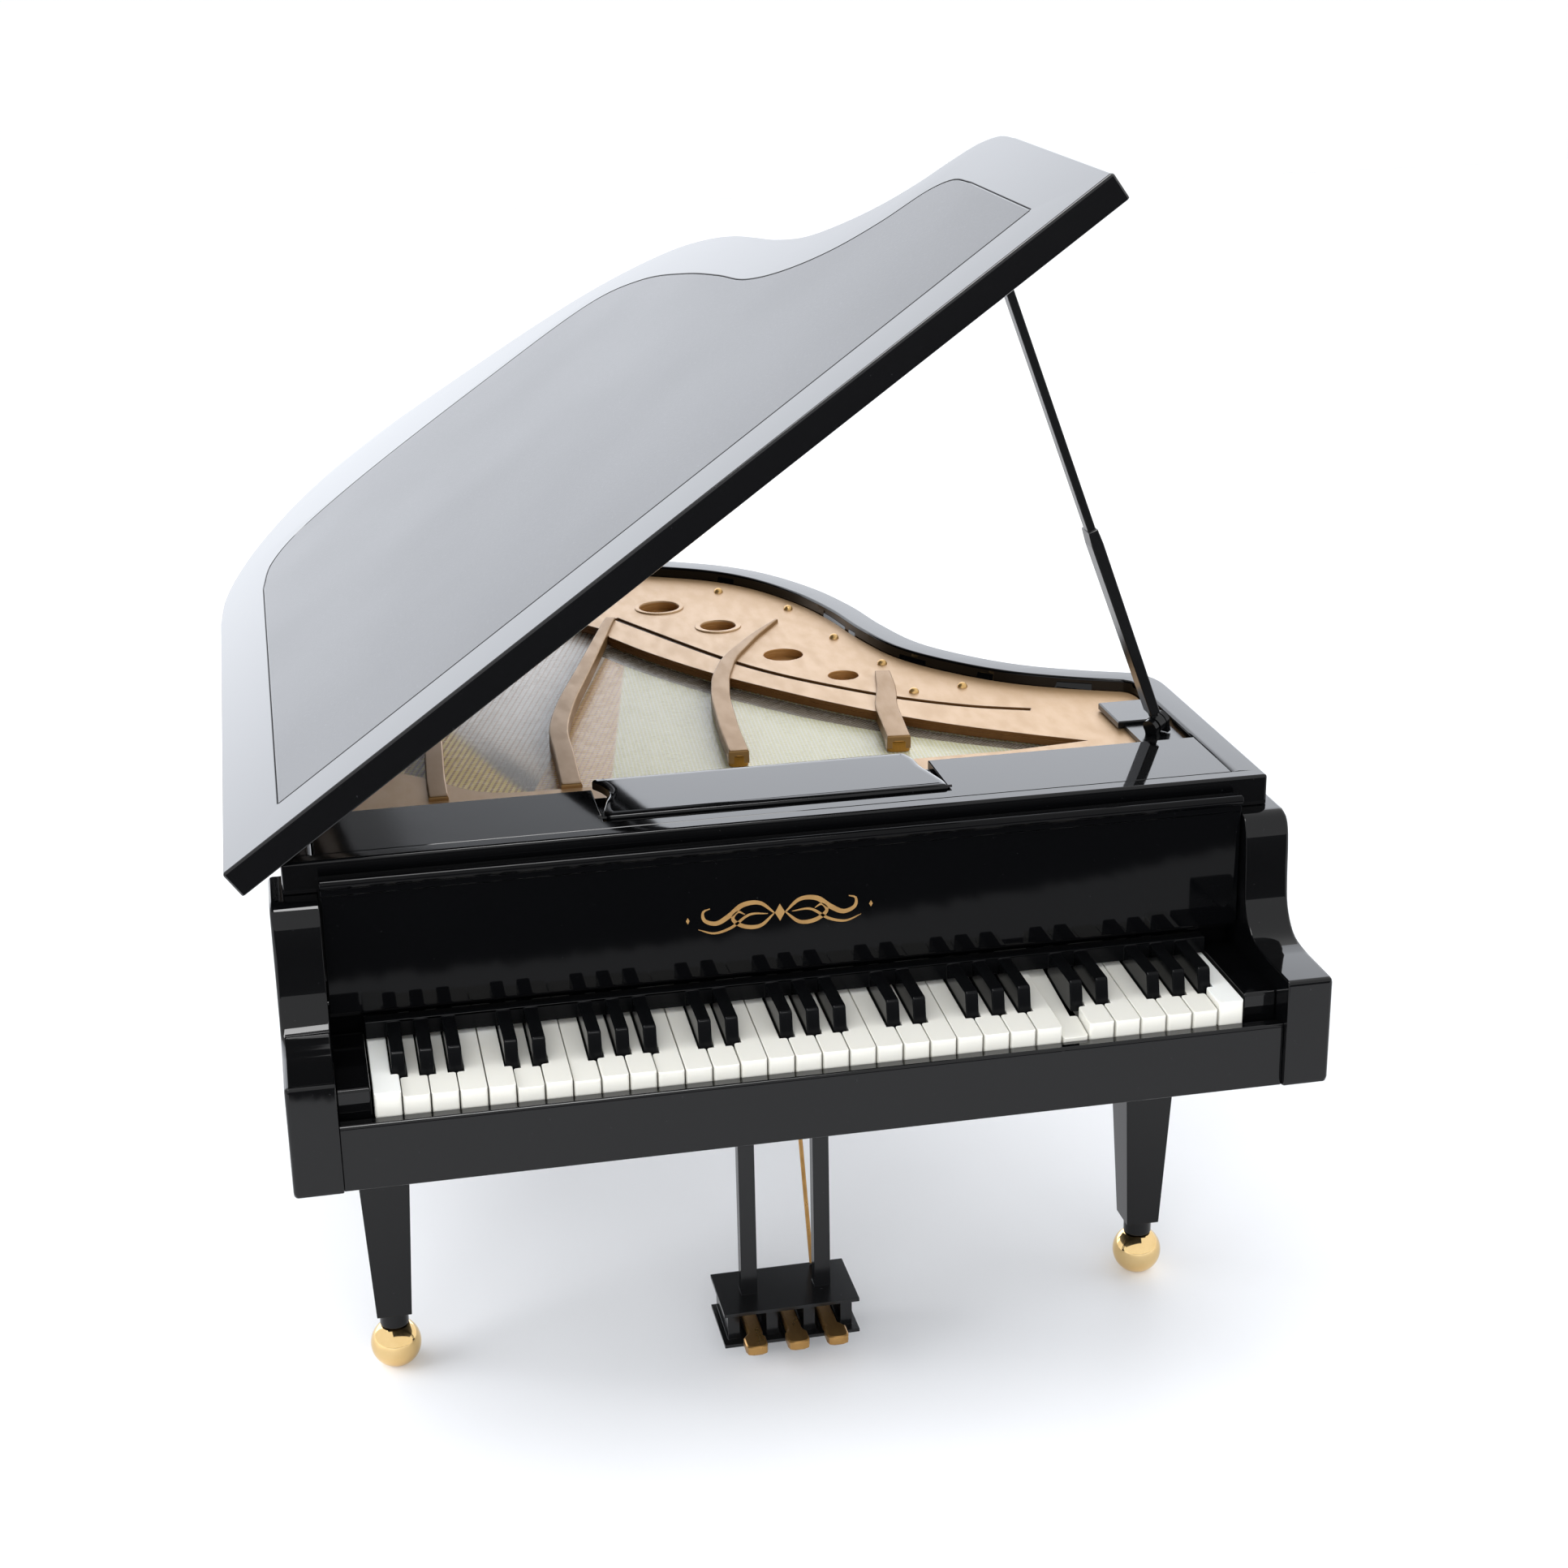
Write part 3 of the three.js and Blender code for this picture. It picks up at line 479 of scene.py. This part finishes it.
def make_sheet():
    k = Look("string_sheet_print")
    x, y, _ = k.xyz()
    wobble = k.calc("MULTIPLY_ADD", k.noise(40, 2), 3.0, -1.5)
    # bass strings run beside the second bar, the others fan out towards the treble corner
    bass = k.calc("MULTIPLY_ADD", y, -0.31, x)
    treble = k.calc("MULTIPLY_ADD", x, 0.62, y)
    fine = k.calc("MULTIPLY_ADD", y, -0.06, x)
    # plain field
    base = k.blend(k.span(k.noise(26, 3), 0.35, 0.65), (0.785, 0.77, 0.50), (0.80, 0.785, 0.53))
    base = k.over(base, k.lines(treble, 1.5, 0.4), 0.65, (0.60, 0.56, 0.24))
    base = k.over(base, k.lines(fine, 1.25, 0.35), 0.6, (0.92, 0.915, 0.85))
    # pink crossing lines right of the second bar, golden close to it
    pink = k.span(k.calc("MULTIPLY_ADD", y, -0.181, x), -64.6, -63.2, 1.0, 0.0)
    beside = k.span(k.calc("MULTIPLY_ADD", y, -0.25, x), -68.5, -64.0, 1.0, 0.0)
    rosy = k.blend(beside, (0.84, 0.70, 0.58), (0.70, 0.46, 0.20))
    rosy = k.over(rosy, k.lines(bass, 1.9, 0.5), 0.6, (0.50, 0.25, 0.16))
    rosy = k.over(rosy, k.lines(y, 1.9, 0.4), 0.5, (0.82, 0.74, 0.66))
    base = k.blend(pink, base, rosy)
    # bass window: gold at the front, a dark slanting band of painted shade and painted reflection of the lid,
    # and whitish painted glare behind it
    # painted reflection: the bass window turns whitish towards the back, standing for the glare off the sheet
    haze = k.blend(k.span(y, 105.0, 170.0), (0.66, 0.54, 0.38), (0.92, 0.86, 0.79))
    haze = k.over(haze, k.lines(bass, 2.0, 0.55), 0.55, (0.46, 0.27, 0.14))
    haze = k.over(haze, k.lines(y, 1.8, 0.35), 0.35, (0.34, 0.27, 0.22))
    gold = k.blend(k.span(k.noise(34, 3), 0.3, 0.7), (0.74, 0.53, 0.12), (0.84, 0.66, 0.24))
    gold = k.over(gold, k.lines(bass, 2.0, 0.7), 0.85, (0.30, 0.12, 0.03))
    gold = k.over(gold, k.lines(y, 1.8, 0.35), 0.4, (0.88, 0.78, 0.45))
    across = k.calc("ADD", k.calc("MULTIPLY_ADD", y, 0.28, x), wobble)
    bassy = k.blend(k.span(across, -42.0, -36.0), gold, haze)
    # painted shade and reflection: a dark slanting band where the lid shades the sheet and is mirrored in it
    shade = k.calc("MULTIPLY", k.span(across, -42.5, -38.0), k.span(across, -35.0, -27.0, 1.0, 0.0))
    shade = k.calc("MULTIPLY", shade, k.span(y, 128.0, 172.0, 0.75, 0.15))
    bassy = k.blend(shade, bassy, (0.09, 0.085, 0.08))
    left = k.span(bass, -102.5, -101.5, 1.0, 0.0)
    colour = k.blend(left, base, bassy)
    press = k.calc("MULTIPLY_ADD", k.lines(fine, 1.25, 0.3), 0.5, k.lines(bass, 1.9, 0.5))
    return k.set(Base_Color=colour, Roughness=k.span(k.noise(300, 2), 0.3, 0.7, 0.2, 0.3),
                 Normal=k.bump(press, 0.2, 0.05), Specular_IOR_Level=0.16)


def make_band():
    k = Look("bridge_print_and_painted_shadow")
    x, y, _ = k.xyz()
    a = k.lines(k.calc("ADD", x, y), 1.7, 0.5)
    b = k.lines(k.calc("SUBTRACT", x, y), 1.7, 0.5)
    # the dark brown ground is partly the bridge's print and partly painted shadow beside the plate's rear edge;
    # the crosshatch lines are print
    colour = k.blend(k.noise(60, 3), (0.20, 0.15, 0.10), (0.36, 0.31, 0.25))
    colour = k.over(colour, a, 0.7, (0.62, 0.58, 0.48))
    colour = k.over(colour, b, 0.55, (0.08, 0.06, 0.045))
    return k.set(Base_Color=colour, Roughness=k.span(k.noise(300), 0.3, 0.7, 0.2, 0.3),
                 Normal=k.bump(a, 0.2, 0.05))


def make_floor():
    k = Look("white_table")
    cloud = k.noise(3.2, 4, 0.6)
    scratch = k.span(k.noise(24, 5, 0.75, k.scaled(1, 0.12, 1)), 0.70, 0.78)
    x, y, _ = k.xyz()
    away = k.calc("SQRT", k.calc("MULTIPLY_ADD", x, x, k.calc("MULTIPLY", y, y)))
    colour = k.blend(cloud, (0.86, 0.875, 0.90), (0.89, 0.90, 0.92))
    # painted light falloff: the table is greyer within half a metre of the piano and turns near-white past 1.1 m
    colour = k.blend(k.span(away, 500.0, 1100.0), colour, (0.995, 0.995, 0.995))
    colour = k.over(colour, scratch, 0.12, (0.62, 0.63, 0.65))
    return k.set(Base_Color=colour, Roughness=k.span(cloud, 0.3, 0.7, 0.38, 0.5), Specular_IOR_Level=0.4,
                 Normal=k.bump(k.noise(150, 3), 0.04, 0.3))


LID_PANEL, IVORY, BRASS = make_lid_panel(), make_ivory(), make_brass()
SHEET, BAND = make_sheet(), make_band()

# ------------------------------------------------------------------ case rim
RIM_CURVE = spline([
    (139, 152.5), (122, 160.5), (106, 170.5), (92, 184.5), (79, 203.5), (71.5, 228), (66.5, 254),
    (58, 281), (44, 307), (30, 322), (9, 335), (-28, 351.5), (-74, 367), (-98, 368), (-122, 355),
    (-138, 330), (-145, 306),
], 150)


def rim_outline(half, front, corner=1.0):
    tip = spline([(half, 133), (half - 0.4, 141), (half - 2.6, 147.6), (139, 152.5)], 10)
    start = [(-half + corner, front), (half - corner, front), (half - 0.3 * corner, front + 0.3 * corner),
             (half, front + corner)]
    return start + tip[:-1] + RIM_CURVE + [(-half, 288), (-half, front + corner),
                                           (-half + 0.3 * corner, front + 0.3 * corner)]


OUTER = rim_outline(CASE_HALF, CASE_FRONT)
INNER = [(x, 51.5 if y < 70 else y)
         for x, y in inset(rim_outline(CASE_HALF, CASE_FRONT, 0.6), RIM_WALL)]


def build_rim():
    upper = slab(OUTER, [INNER], RIM_STEP, CASE_TOP, top=0.9, bottom=0)
    lower_front = 62.3
    slab(rim_outline(CASE_HALF, lower_front, 0.3), [INNER], CASE_BOTTOM, RIM_STEP,
         top=0, bottom=0.5, shell=upper)
    wall = slab([(47.0, 141.5), (50.6, 141.5), (50.6, 180.9), (47.0, 180.9)], [], -136.3, 136.3, 0, 0)
    parts = [upper.object("case_rim_body", [GLOSS]), wall.object("case_wall", [GLOSS], along_x)]
    stands_for(join_objects("case_rim_shell", parts), "case_rim")


# ------------------------------------------------------------------ cheeks
def build_arms():
    curl = spline([(18.5, 143), (24.8, 143.5), (29.3, 144.6), (32.6, 147.2), (35.4, 152), (36.5, 159.6),
                   (37.1, 169.8), (38.1, 175.7), (39.9, 178.6), (43.6, 180)], 26)
    foot = [(43.6, 180), (62, 180), (62, 109), (2, 109), (0.6, 109.5), (0, 111)]
    nose = [(0, 141.4), (0.5, 142.5), (1.6, 143)]
    profile = ccw(curl + foot[1:] + nose)
    # the cheeks close against the ends of the front rail
    rail_l, rail_r = ((v.x - O.x) * 1000 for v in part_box("front_rail"))
    for name, x0, x1 in (("left_arm", -150, rail_l + 0.02), ("right_arm", rail_r - 0.02, 150)):
        outer_edge, inner_edge = 1.3, 0.4
        low_edge, high_edge = (outer_edge, inner_edge) if x1 < 0 else (inner_edge, outer_edge)
        s = slab(profile, [], x0, x1, top=high_edge, bottom=low_edge)
        stands_for(s.object(name + "_shell", [GLOSS], along_x), name)


# ------------------------------------------------------------------ lid
LID_OUTLINE = [(-154.4, 39.6), (-153.8, 39), (153.8, 39), (154.4, 39.6)] + spline([
    (154.4, 129), (153, 143.5), (147.6, 152), (139, 156.4), (126, 160.6), (114, 168), (103, 179), (92.4, 195),
    (85.4, 218), (81.4, 241), (77.4, 262), (70, 285), (59.5, 305.5), (41, 327), (21, 342.5), (-1, 354),
    (-24, 363), (-47, 371), (-71, 377.6), (-92, 379), (-114, 371.6), (-133, 355), (-145, 335), (-152, 313),
    (-154.4, 286),
], 190)
GROOVE = [(-134.5, 60), (-133.5, 59), (133.4, 59), (134.4, 60)] + spline([
    (134.4, 122), (132.6, 137), (126, 145), (109, 151), (93, 161), (78, 179), (68, 201), (63, 230),
    (56, 262), (43, 299), (24, 321.5), (-30, 331.5), (-90, 333.5), (-119, 325.5), (-130, 312), (-134.5, 288),
], 150)


def swung(p):
    """Turns a point of the closed lid to where the lid rests open."""
    a = math.radians(LID_ANGLE)
    x, z = p[0] - HINGE[0], p[2] - HINGE[1]
    return (HINGE[0] + x * math.cos(a) - z * math.sin(a), p[1], HINGE[1] + x * math.sin(a) + z * math.cos(a))


def build_lid():
    low, top, under = 187.5, 196.3, 193.7
    s = Shell()
    # (inset, height) from the underside down inside the skirt and out to its edge
    skirt = [(2.4, under), (2.4, low + 0.3), (2.1, low), (0.4, low), (0.1, low + 0.15)]
    rings = [s.ring(inset(LID_OUTLINE, d), z) for d, z in skirt]
    rings.append(s.ring(LID_OUTLINE, low + 0.5))
    rings += [s.ring(inset(LID_OUTLINE, d), top - drop) for d, drop in edge_steps(0.9, 4)]
    s.stack(rings)
    s.cap([rings[0]], up=False)
    groove = [(0, 0), (0.1, 0.05), (0.22, 0.3), (0.3, 0.6), (0.62, 0.6), (0.7, 0.3), (0.82, 0.05), (0.95, 0)]
    inner = [s.ring(inset(GROOVE, d), top - h) for d, h in groove]
    s.cap([rings[-1], inner[0]])
    s.stack(inner)
    s.cap([inner[-1]], slot=1)
    rib = [(p[0], max(p[1], 52)) for p in inset(OUTER, 4.2)]
    ribs = slab(rib, [inset(rib, 1.8)], 190.1, under + 0.4, top=0, bottom=0.2)
    parts = [s.object("lid_skin", [GLOSS_SIDE, LID_PANEL], swung),
             ribs.object("lid_ribs", [GLOSS_SIDE], swung)]
    arm = [(HINGE[0] - 2, 181.4), (HINGE[0] + 1.5, 183.6), (-151.6, 193.9), (-153.8, 193.9),
           (-154.2, 188.1)]
    for y in (96, 252):
        z0, z1 = -y - 2.6, -y + 2.6
        lug = slab(ccw(arm), [], z0, z1, 0.25, 0.25)
        eye = slab(circle(*HINGE, 2.3, 32), [circle(*HINGE, 1.35, 32)], z0, z1, 0.2, 0.2)
        for name, shape in (("lug", lug), ("eye", eye)):
            parts.append(shape.object(f"{name}{y}", [GLOSS_SIDE], lambda p: swung(along_y(p))))
    stands_for(join_objects("lid_shell", parts), "lid")


# ------------------------------------------------------------------ plate and strings
REAR_EDGE = spline([
    (106.6, 100.6), (89, 112.2), (66, 129.5), (42.5, 152), (18, 181), (3.5, 200.5), (-13.4, 228.5), (-24.5, 251),
], 60)
OPENING = [(-61, 98.5), (79.5, 97.8)] + REAR_EDGE + spline([
    (-26, 262), (-40, 280), (-70, 294), (-100, 290), (-117, 268), (-123, 220), (-121, 160), (-113, 132),
    (-99, 117), (-86, 103), (-76, 99.2), (-66, 98.6),
], 60)
SLOT = spline([
    (98.4, 134.7), (81, 142.6), (59.2, 157.8), (35.2, 181.6), (21.6, 198.3), (9.9, 216.9), (-9.3, 254.4),
    (-18.9, 274),
], 60)
# x, y and radius of each hole, and the radius of the raised ring round it (0 for none)
HOLES = ((-1, 283.5, 7.4, 9.2), (16, 254, 6.4, 8.5), (32.1, 214.4, 6.9, 0), (47.3, 186, 5.2, 0))
STUDS = ((24.3, 298.7), (45.3, 269.1), (53.8, 229.2), (63.2, 195), (66.1, 162), (83.3, 163.4))
# each bar's line, then its half width at the front and at the back, and the place from 0 to 1
# where it starts to taper
BARS = (
    ([(-98, 97), (-97.6, 115), (-95, 160), (-86, 296)], (3, 2.6, 0)),
    ([(-57.6, 98), (-54.8, 159), (-22.7, 267), (-21, 272)], (3.2, 1.8, 0.3)),
    ([(-2.6, 115), (-1.4, 138), (1.7, 171), (5.5, 191.6), (12.3, 212.3), (25.6, 236), (37.8, 254)],
     (3.2, 0.6, 0.45)),
    ([(49.4, 116), (53, 148), (57.6, 166), (60.6, 184)], (3.75, 2.6, 0.4)),
)


def firm(line):
    """Adds points near the ends of each straight run, so a spline keeps the kinks."""
    out = [line[0]]
    for a, b in zip(line, line[1:]):
        a, b = Vector(a), Vector(b)
        out += [tuple(a.lerp(b, f)) for f in (0.15, 0.5, 0.85)]
    return out + [line[-1]]


def tapered(front, back, start):
    return lambda t: front + (back - front) * max(0, (t - start) / (1 - start)) ** 1.5


def build_plate():
    body = inset(INNER, 0.3)
    holes = [circle(x, y, r) for x, y, r, _ in HOLES]
    slots = [ribbon(SLOT, 1.1)]
    # side slot 2 is the edge bronze darkened as painted shade
    walls = [1, 2] + [1] * len(holes)
    s = slab(body, [OPENING] + holes + slots, PLATE_STEP, PLATE_TOP, top=0.3, bottom=0, side_slot=walls + [2])
    slab(body, [inset(OPENING, 0.3)] + holes, PLATE_UNDER, PLATE_STEP,
         top=0.2, bottom=0.2, side_slot=walls, shell=s, top_slot=1)
    for x, y, r, ring in HOLES:
        if ring:
            slab(circle(x, y, ring), [circle(x, y, r + 0.05)], PLATE_TOP - 0.3, PLATE_TOP + 0.5,
                 top=0.35, bottom=0, shell=s)
        pit = s.ring(circle(x, y, r + 0.2), 182.7)
        s.cap([pit], slot=1)
    parts = [s.object("plate_skin", [PLATE, EDGE, SHADED_WALL])]
    # a dark sheet in the bottom of the slot, painted shade
    parts.append(slab(ribbon(SLOT, 1.15), [], 184.2, 184.75, 0, 0).object("slot_floor", [SLOT_SHADE]))
    for i, (line, half) in enumerate(BARS):
        way = spline(firm(line), 70)
        bar = slab(ribbon(way, tapered(*half)), [], 182.6, PLATE_TOP + 1.4, 0.6, 0.2)
        parts.append(bar.object(f"bar{i}", [BAR]))
        a, b = Vector(way[0]), Vector(way[6])
        t = (b - a).normalized()
        c = a + t * 3.2
        side = Vector((-t.y, t.x)) * half[0]
        pad = [c + t * 3.3 - side * 1.04, c + t * 3.3 + side * 1.04,
               c - t * 3.3 + side * 0.98, c - t * 3.3 - side * 0.98]
        pad = rounded(ccw([tuple(p) for p in pad]), 2.4, 6)
        parts.append(slab(pad, [], SHEET_TOP + 0.3, PLATE_TOP + 0.2, 0.9, 0.1).object(f"bar_foot{i}", [FOOT]))
    for i, (x, y) in enumerate(STUDS):
        dome = Shell()
        rows = [dome.ring(circle(x, y, 1.75 * math.cos(a), 24), PLATE_TOP + 1.6 * math.sin(a))
                for a in (0, 0.35, 0.7, 1.05, 1.35)]
        dome.stack(rows)
        dome.cap([rows[-1]])
        parts.append(dome.object(f"stud{i}", [STUD], sharp=60))
    stands_for(join_objects("gold_plate_shell", parts), "gold_plate")

    sheet = NODES["string_sheet"]
    sheet.data.materials.clear()
    sheet.data.materials.append(SHEET)
    # a strip along the plate's rear edge, carrying the bridge's print with painted shadow
    near = []
    for i, p in enumerate(REAR_EDGE):
        t = heading(REAR_EDGE, i)
        w = 2.5 + 5.0 * min(1, i / 30)
        near.append((p[0] - t.y * w, p[1] + t.x * w))
    band = Shell()
    ring = band.ring([(p[0] + 1.2, p[1] + 1.2) for p in REAR_EDGE] + near[::-1], SHEET_TOP + 0.03)
    band.cap([ring])
    obj = band.object("bridge_band", [BAND])
    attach(obj, BODY_OF["string_sheet"])


# ------------------------------------------------------------------ music desk
def build_desk():
    left = spline([(-51.2, 58.5), (-52.6, 62), (-51.2, 70), (-48.8, 79), (-50.2, 86), (-52.4, 90.0)], 16)
    right = spline([(49.9, 58.5), (50.2, 62), (48.6, 70), (46.6, 78), (46.2, 84), (44.8, 89.6)], 16)
    loop = ccw(right + [(43.6, 90.4), (-51.6, 90.4)] + left[::-1])
    s = Shell()
    rings = [s.ring(inset(loop, d), 187.4 + h) for d, h in reversed(edge_steps(0.4))]
    for d, drop in ((0, 1.1), (0.25, 0.55), (0.7, 0.2), (1.6, 0.05), (2.6, 0.0)):
        rings.append(s.ring(inset(loop, d), 190.9 - drop))
    s.stack(rings)
    s.cap([rings[0]], up=False)
    s.cap([rings[-1]])
    stands_for(s.object("music_desk_shell", [GLOSS], sharp=50), "music_desk")


# ------------------------------------------------------------------ fallboard and its ornament
def build_fallboard():
    bead = arc(41.0, 184.45, 1.5, 90, 250, 12)
    profile = [(41.4, 145.0), (41.6, 144.6), (42.2, 144.4), (44.2, 144.4), (44.8, 144.8), (45, 145.4),
               (45, 184.8), (44.6, 185.6), (43.8, 185.95)]
    profile += bead + [(40.75, 182.7), (40.75, 181.1), (41.0, 180.75), (41.4, 180.5)]
    front = slab(ccw(profile), [], -135.9, 135.9, top=0.35, bottom=0.35)
    parts = [front.object("fallboard_shell", [GLOSS_FRONT], along_x, sharp=32)]
    for x0, x1 in ((-138.6, -134), (134, 138.6)):
        pin = slab(circle(43.6, 147, 1.1, 24), [], x0, x1, 0.1, 0.1)
        parts.append(pin.object("pin", [SATIN], along_x))
    stands_for(join_objects("fallboard_shell", parts), "fallboard")


PLATE_INK = make_plate_gold("gilt_print", (0.42, 0.25, 0.09), (0.34, 0.19, 0.065), 0.4, 0.35)


def build_ornament():
    """A plain gilt flourish, mirrored about its centre."""
    cx, cz = -5.1, 162.6
    depth = (-41.45, -41.33)
    strokes = [
        (spline([(1.6, 0), (6, 3.6), (11, 3.4), (15, 0.4), (19, -1.6), (22.4, -0.2), (22.6, 2.4),
                 (20.6, 3.2)], 40), 0.62),
        (spline([(1.6, 0), (6, -3.6), (11, -3.2), (14, -0.6), (12.4, 1.4), (10.4, 0.4)], 34), 0.5),
        (spline([(3.6, 0), (9, 0.2), (14.6, -3.4), (19.6, -4.6), (24.2, -3.0)], 30), 0.34),
    ]
    s = Shell()
    for line, w in strokes:
        for sx in (1, -1):
            way = [(cx + sx * px, cz + pz) for px, pz in line]
            loop = ccw(ribbon(way, lambda t: w * (0.25 + math.sin(math.pi * min(1, t * 1.02)) ** 0.7)))
            slab(loop, [], *depth, 0, 0, shell=s)
    for dx, r in ((0, 1.5), (-27.2, 0.55), (27.2, 0.55)):
        diamond = [(cx + dx - r, cz), (cx + dx, cz - 1.8 * r), (cx + dx + r, cz), (cx + dx, cz + 1.8 * r)]
        slab(ccw(diamond), [], *depth, 0, 0, shell=s)
    obj = s.object("fallboard_ornament", [PLATE_INK], along_y)
    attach(obj, "fallboard")


# ------------------------------------------------------------------ feet
def build_feet():
    for side in ("left", "right", "rear"):
        lo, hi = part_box("ball_foot_" + side)
        cx, cy = (lo.x + hi.x) / 2, (lo.y + hi.y) / 2
        r, flat, crown = 8.0, 2.0, 6.8
        cz = math.sqrt(r * r - flat * flat)
        s = Shell()
        a0, a1 = math.asin(-cz / r), math.asin(crown / r)
        rows, steps = [], 24
        for i in range(steps + 1):
            a = a0 + (a1 - a0) * i / steps
            rows.append(s.ring(circle(0, 0, r * math.cos(a), 64), cz + r * math.sin(a)))
        s.stack(rows)
        s.cap([rows[0]], up=False)
        s.cap([rows[-1]])
        shift = (Vector((cx, cy, 0)) - Vector((O.x, O.y, 0))) * 1000
        obj = s.object(f"ball_{side}", [BRASS], lambda p: (p[0] + shift.x, p[1] + shift.y, p[2]), sharp=35)
        stands_for(obj, "ball_foot_" + side)


build_rim()
build_arms()
build_lid()
build_plate()
build_desk()
build_fallboard()
build_ornament()
build_feet()

for node, width in {
    "front_rail": 0.5, "left_key_block": 0.4, "right_key_block": 0.4, "front_top_panel": 0.35,
    "leg_left": 0.6, "leg_right": 0.6, "leg_rear": 0.6,
}.items():
    softened(node, GLOSS, width)
for node, width in {"lid_prop": 0.25, "prop_bracket": 0.2, "lid_hinge_strip": 0.2, "lyre_frame": 0.25,
                    "bottom_board": 0.0}.items():
    softened(node, SATIN, width)
for node in ("pedal_left", "pedal_middle", "pedal_right"):
    softened(node, BRONZE, 0.5, angle=40)
softened("lyre_brace", BRONZE, 0.0)
softened("black_key_strip", EBONY, 0.3)
for i in range(1, 33):
    softened(f"white_key_{i:02d}", IVORY, 0.32)

# ------------------------------------------------------------------ stage
mesh = bpy.data.meshes.new("table")
mesh.from_pydata([(-6, -5, 0), (6, -5, 0), (6, 2.6, 0), (-6, 2.6, 0)], [], [(0, 1, 2, 3)])
floor = add_object("table", mesh)
mesh.materials.append(make_floor())

# what the black fronts mirror: the white table out to its front edge, and the dim room past it
k = Look("table_edge_mirrored")
x, y, _ = k.xyz()
EDGE_NEAR, EDGE_FAR = -304.0, -292.0  # the dark edge fades into the table between these, in y
EDGE_MIDDLE, EDGE_CURVE = 95.0, 3.5e-4
slant = k.calc("MULTIPLY", k.calc("POWER", k.calc("ADD", x, EDGE_MIDDLE), 2.0), EDGE_CURVE)
ragged = k.calc("MULTIPLY_ADD", k.noise(120, 4, 0.7, k.scaled(1, 0.3, 1)), 30.0, -15.0)
past = k.span(k.calc("ADD", k.calc("ADD", y, slant), ragged), EDGE_NEAR, EDGE_FAR)
k.set(Base_Color=k.blend(past, (0.008, 0.008, 0.009), (0.74, 0.745, 0.76)), Roughness=0.6)
mirrored = floor.copy()
mirrored.data = floor.data.copy()
mirrored.name = "table_mirrored"
mirrored.data.materials.clear()
mirrored.data.materials.append(k.mat)
mirrored.location.z = 0.00015
bpy.context.scene.collection.objects.link(mirrored)
mirrored.visible_camera = mirrored.visible_diffuse = mirrored.visible_shadow = False
floor.visible_glossy = False

world = bpy.data.worlds.new("studio")
world.use_nodes = True
world.node_tree.nodes["Background"].inputs[0].default_value = (0.985, 0.99, 1.0, 1)
world.node_tree.nodes["Background"].inputs[1].default_value = 1.02
bpy.context.scene.world = world


def soft_light(name, at, look, size, power, colour=(1, 1, 1), glossy=True, diffuse=True):
    light = bpy.data.lights.new(name, "AREA")
    light.shape = "RECTANGLE"
    light.size, light.size_y = size
    light.energy = power
    light.color = colour
    obj = add_object(name, light)
    obj.location = at
    obj.rotation_euler = (Vector(look) - Vector(at)).to_track_quat("-Z", "Y").to_euler()
    obj.visible_camera = False
    obj.visible_glossy = glossy
    obj.visible_diffuse = diffuse


soft_light("back_wall", (-0.3, 2.2, 0.9), (-0.1, 0, 0.35), (4.4, 2.2), 54, (0.86, 0.91, 1.0), diffuse=False)
soft_light("top_box", (-0.5, 0.0, 1.7), (0, 0, 0.1), (1.8, 1.6), 9, glossy=False)
soft_light("front_low", (-0.3, -2.4, 0.95), (0, 0, 0.1), (2.6, 1.3), 32, (0.97, 0.98, 1.0), glossy=False)
soft_light("left_low", (-2.4, -0.1, 1.0), (0, 0, 0.1), (2.2, 1.3), 48, (0.97, 0.98, 1.0), glossy=False)
soft_light("right_low", (2.4, -0.3, 0.95), (0, 0, 0.1), (2.2, 1.3), 10, (0.98, 0.985, 1.0), glossy=False)
soft_light("edge_strip", (-0.3, -0.25, 1.6), (0, 0.05, 0.15), (1.5, 0.35), 24, diffuse=False)

# the camera as solved from the photo's corners and edges
CAMERA_AT = (-139.22, -636.60, 457.76)
CAMERA_TURN = (11.346, -20.284, -1.083)
FOCAL_PIXELS, PHOTO_PIXELS, SENSOR_MM = 3179.9, 1932, 36
camera = add_object("camera", bpy.data.cameras.new("camera"))
bpy.context.scene.camera = camera
yaw, pitch, roll = (math.radians(v) for v in CAMERA_TURN)
forward = Vector((math.sin(yaw) * math.cos(pitch), math.cos(yaw) * math.cos(pitch), math.sin(pitch)))
right = forward.cross(Vector((0, 0, 1))).normalized()
up = right.cross(forward)
rolled_right = right * math.cos(roll) + up * math.sin(roll)
rolled_up = up * math.cos(roll) - right * math.sin(roll)
turn = Matrix((rolled_right, rolled_up, -forward)).transposed().to_4x4()
camera.matrix_world = Matrix.Translation(to_row(CAMERA_AT)) @ turn
camera.data.sensor_width = SENSOR_MM
camera.data.lens = FOCAL_PIXELS / PHOTO_PIXELS * SENSOR_MM
camera.data.clip_start, camera.data.clip_end = 0.02, 30
bpy.context.scene.view_settings.view_transform = "Standard"
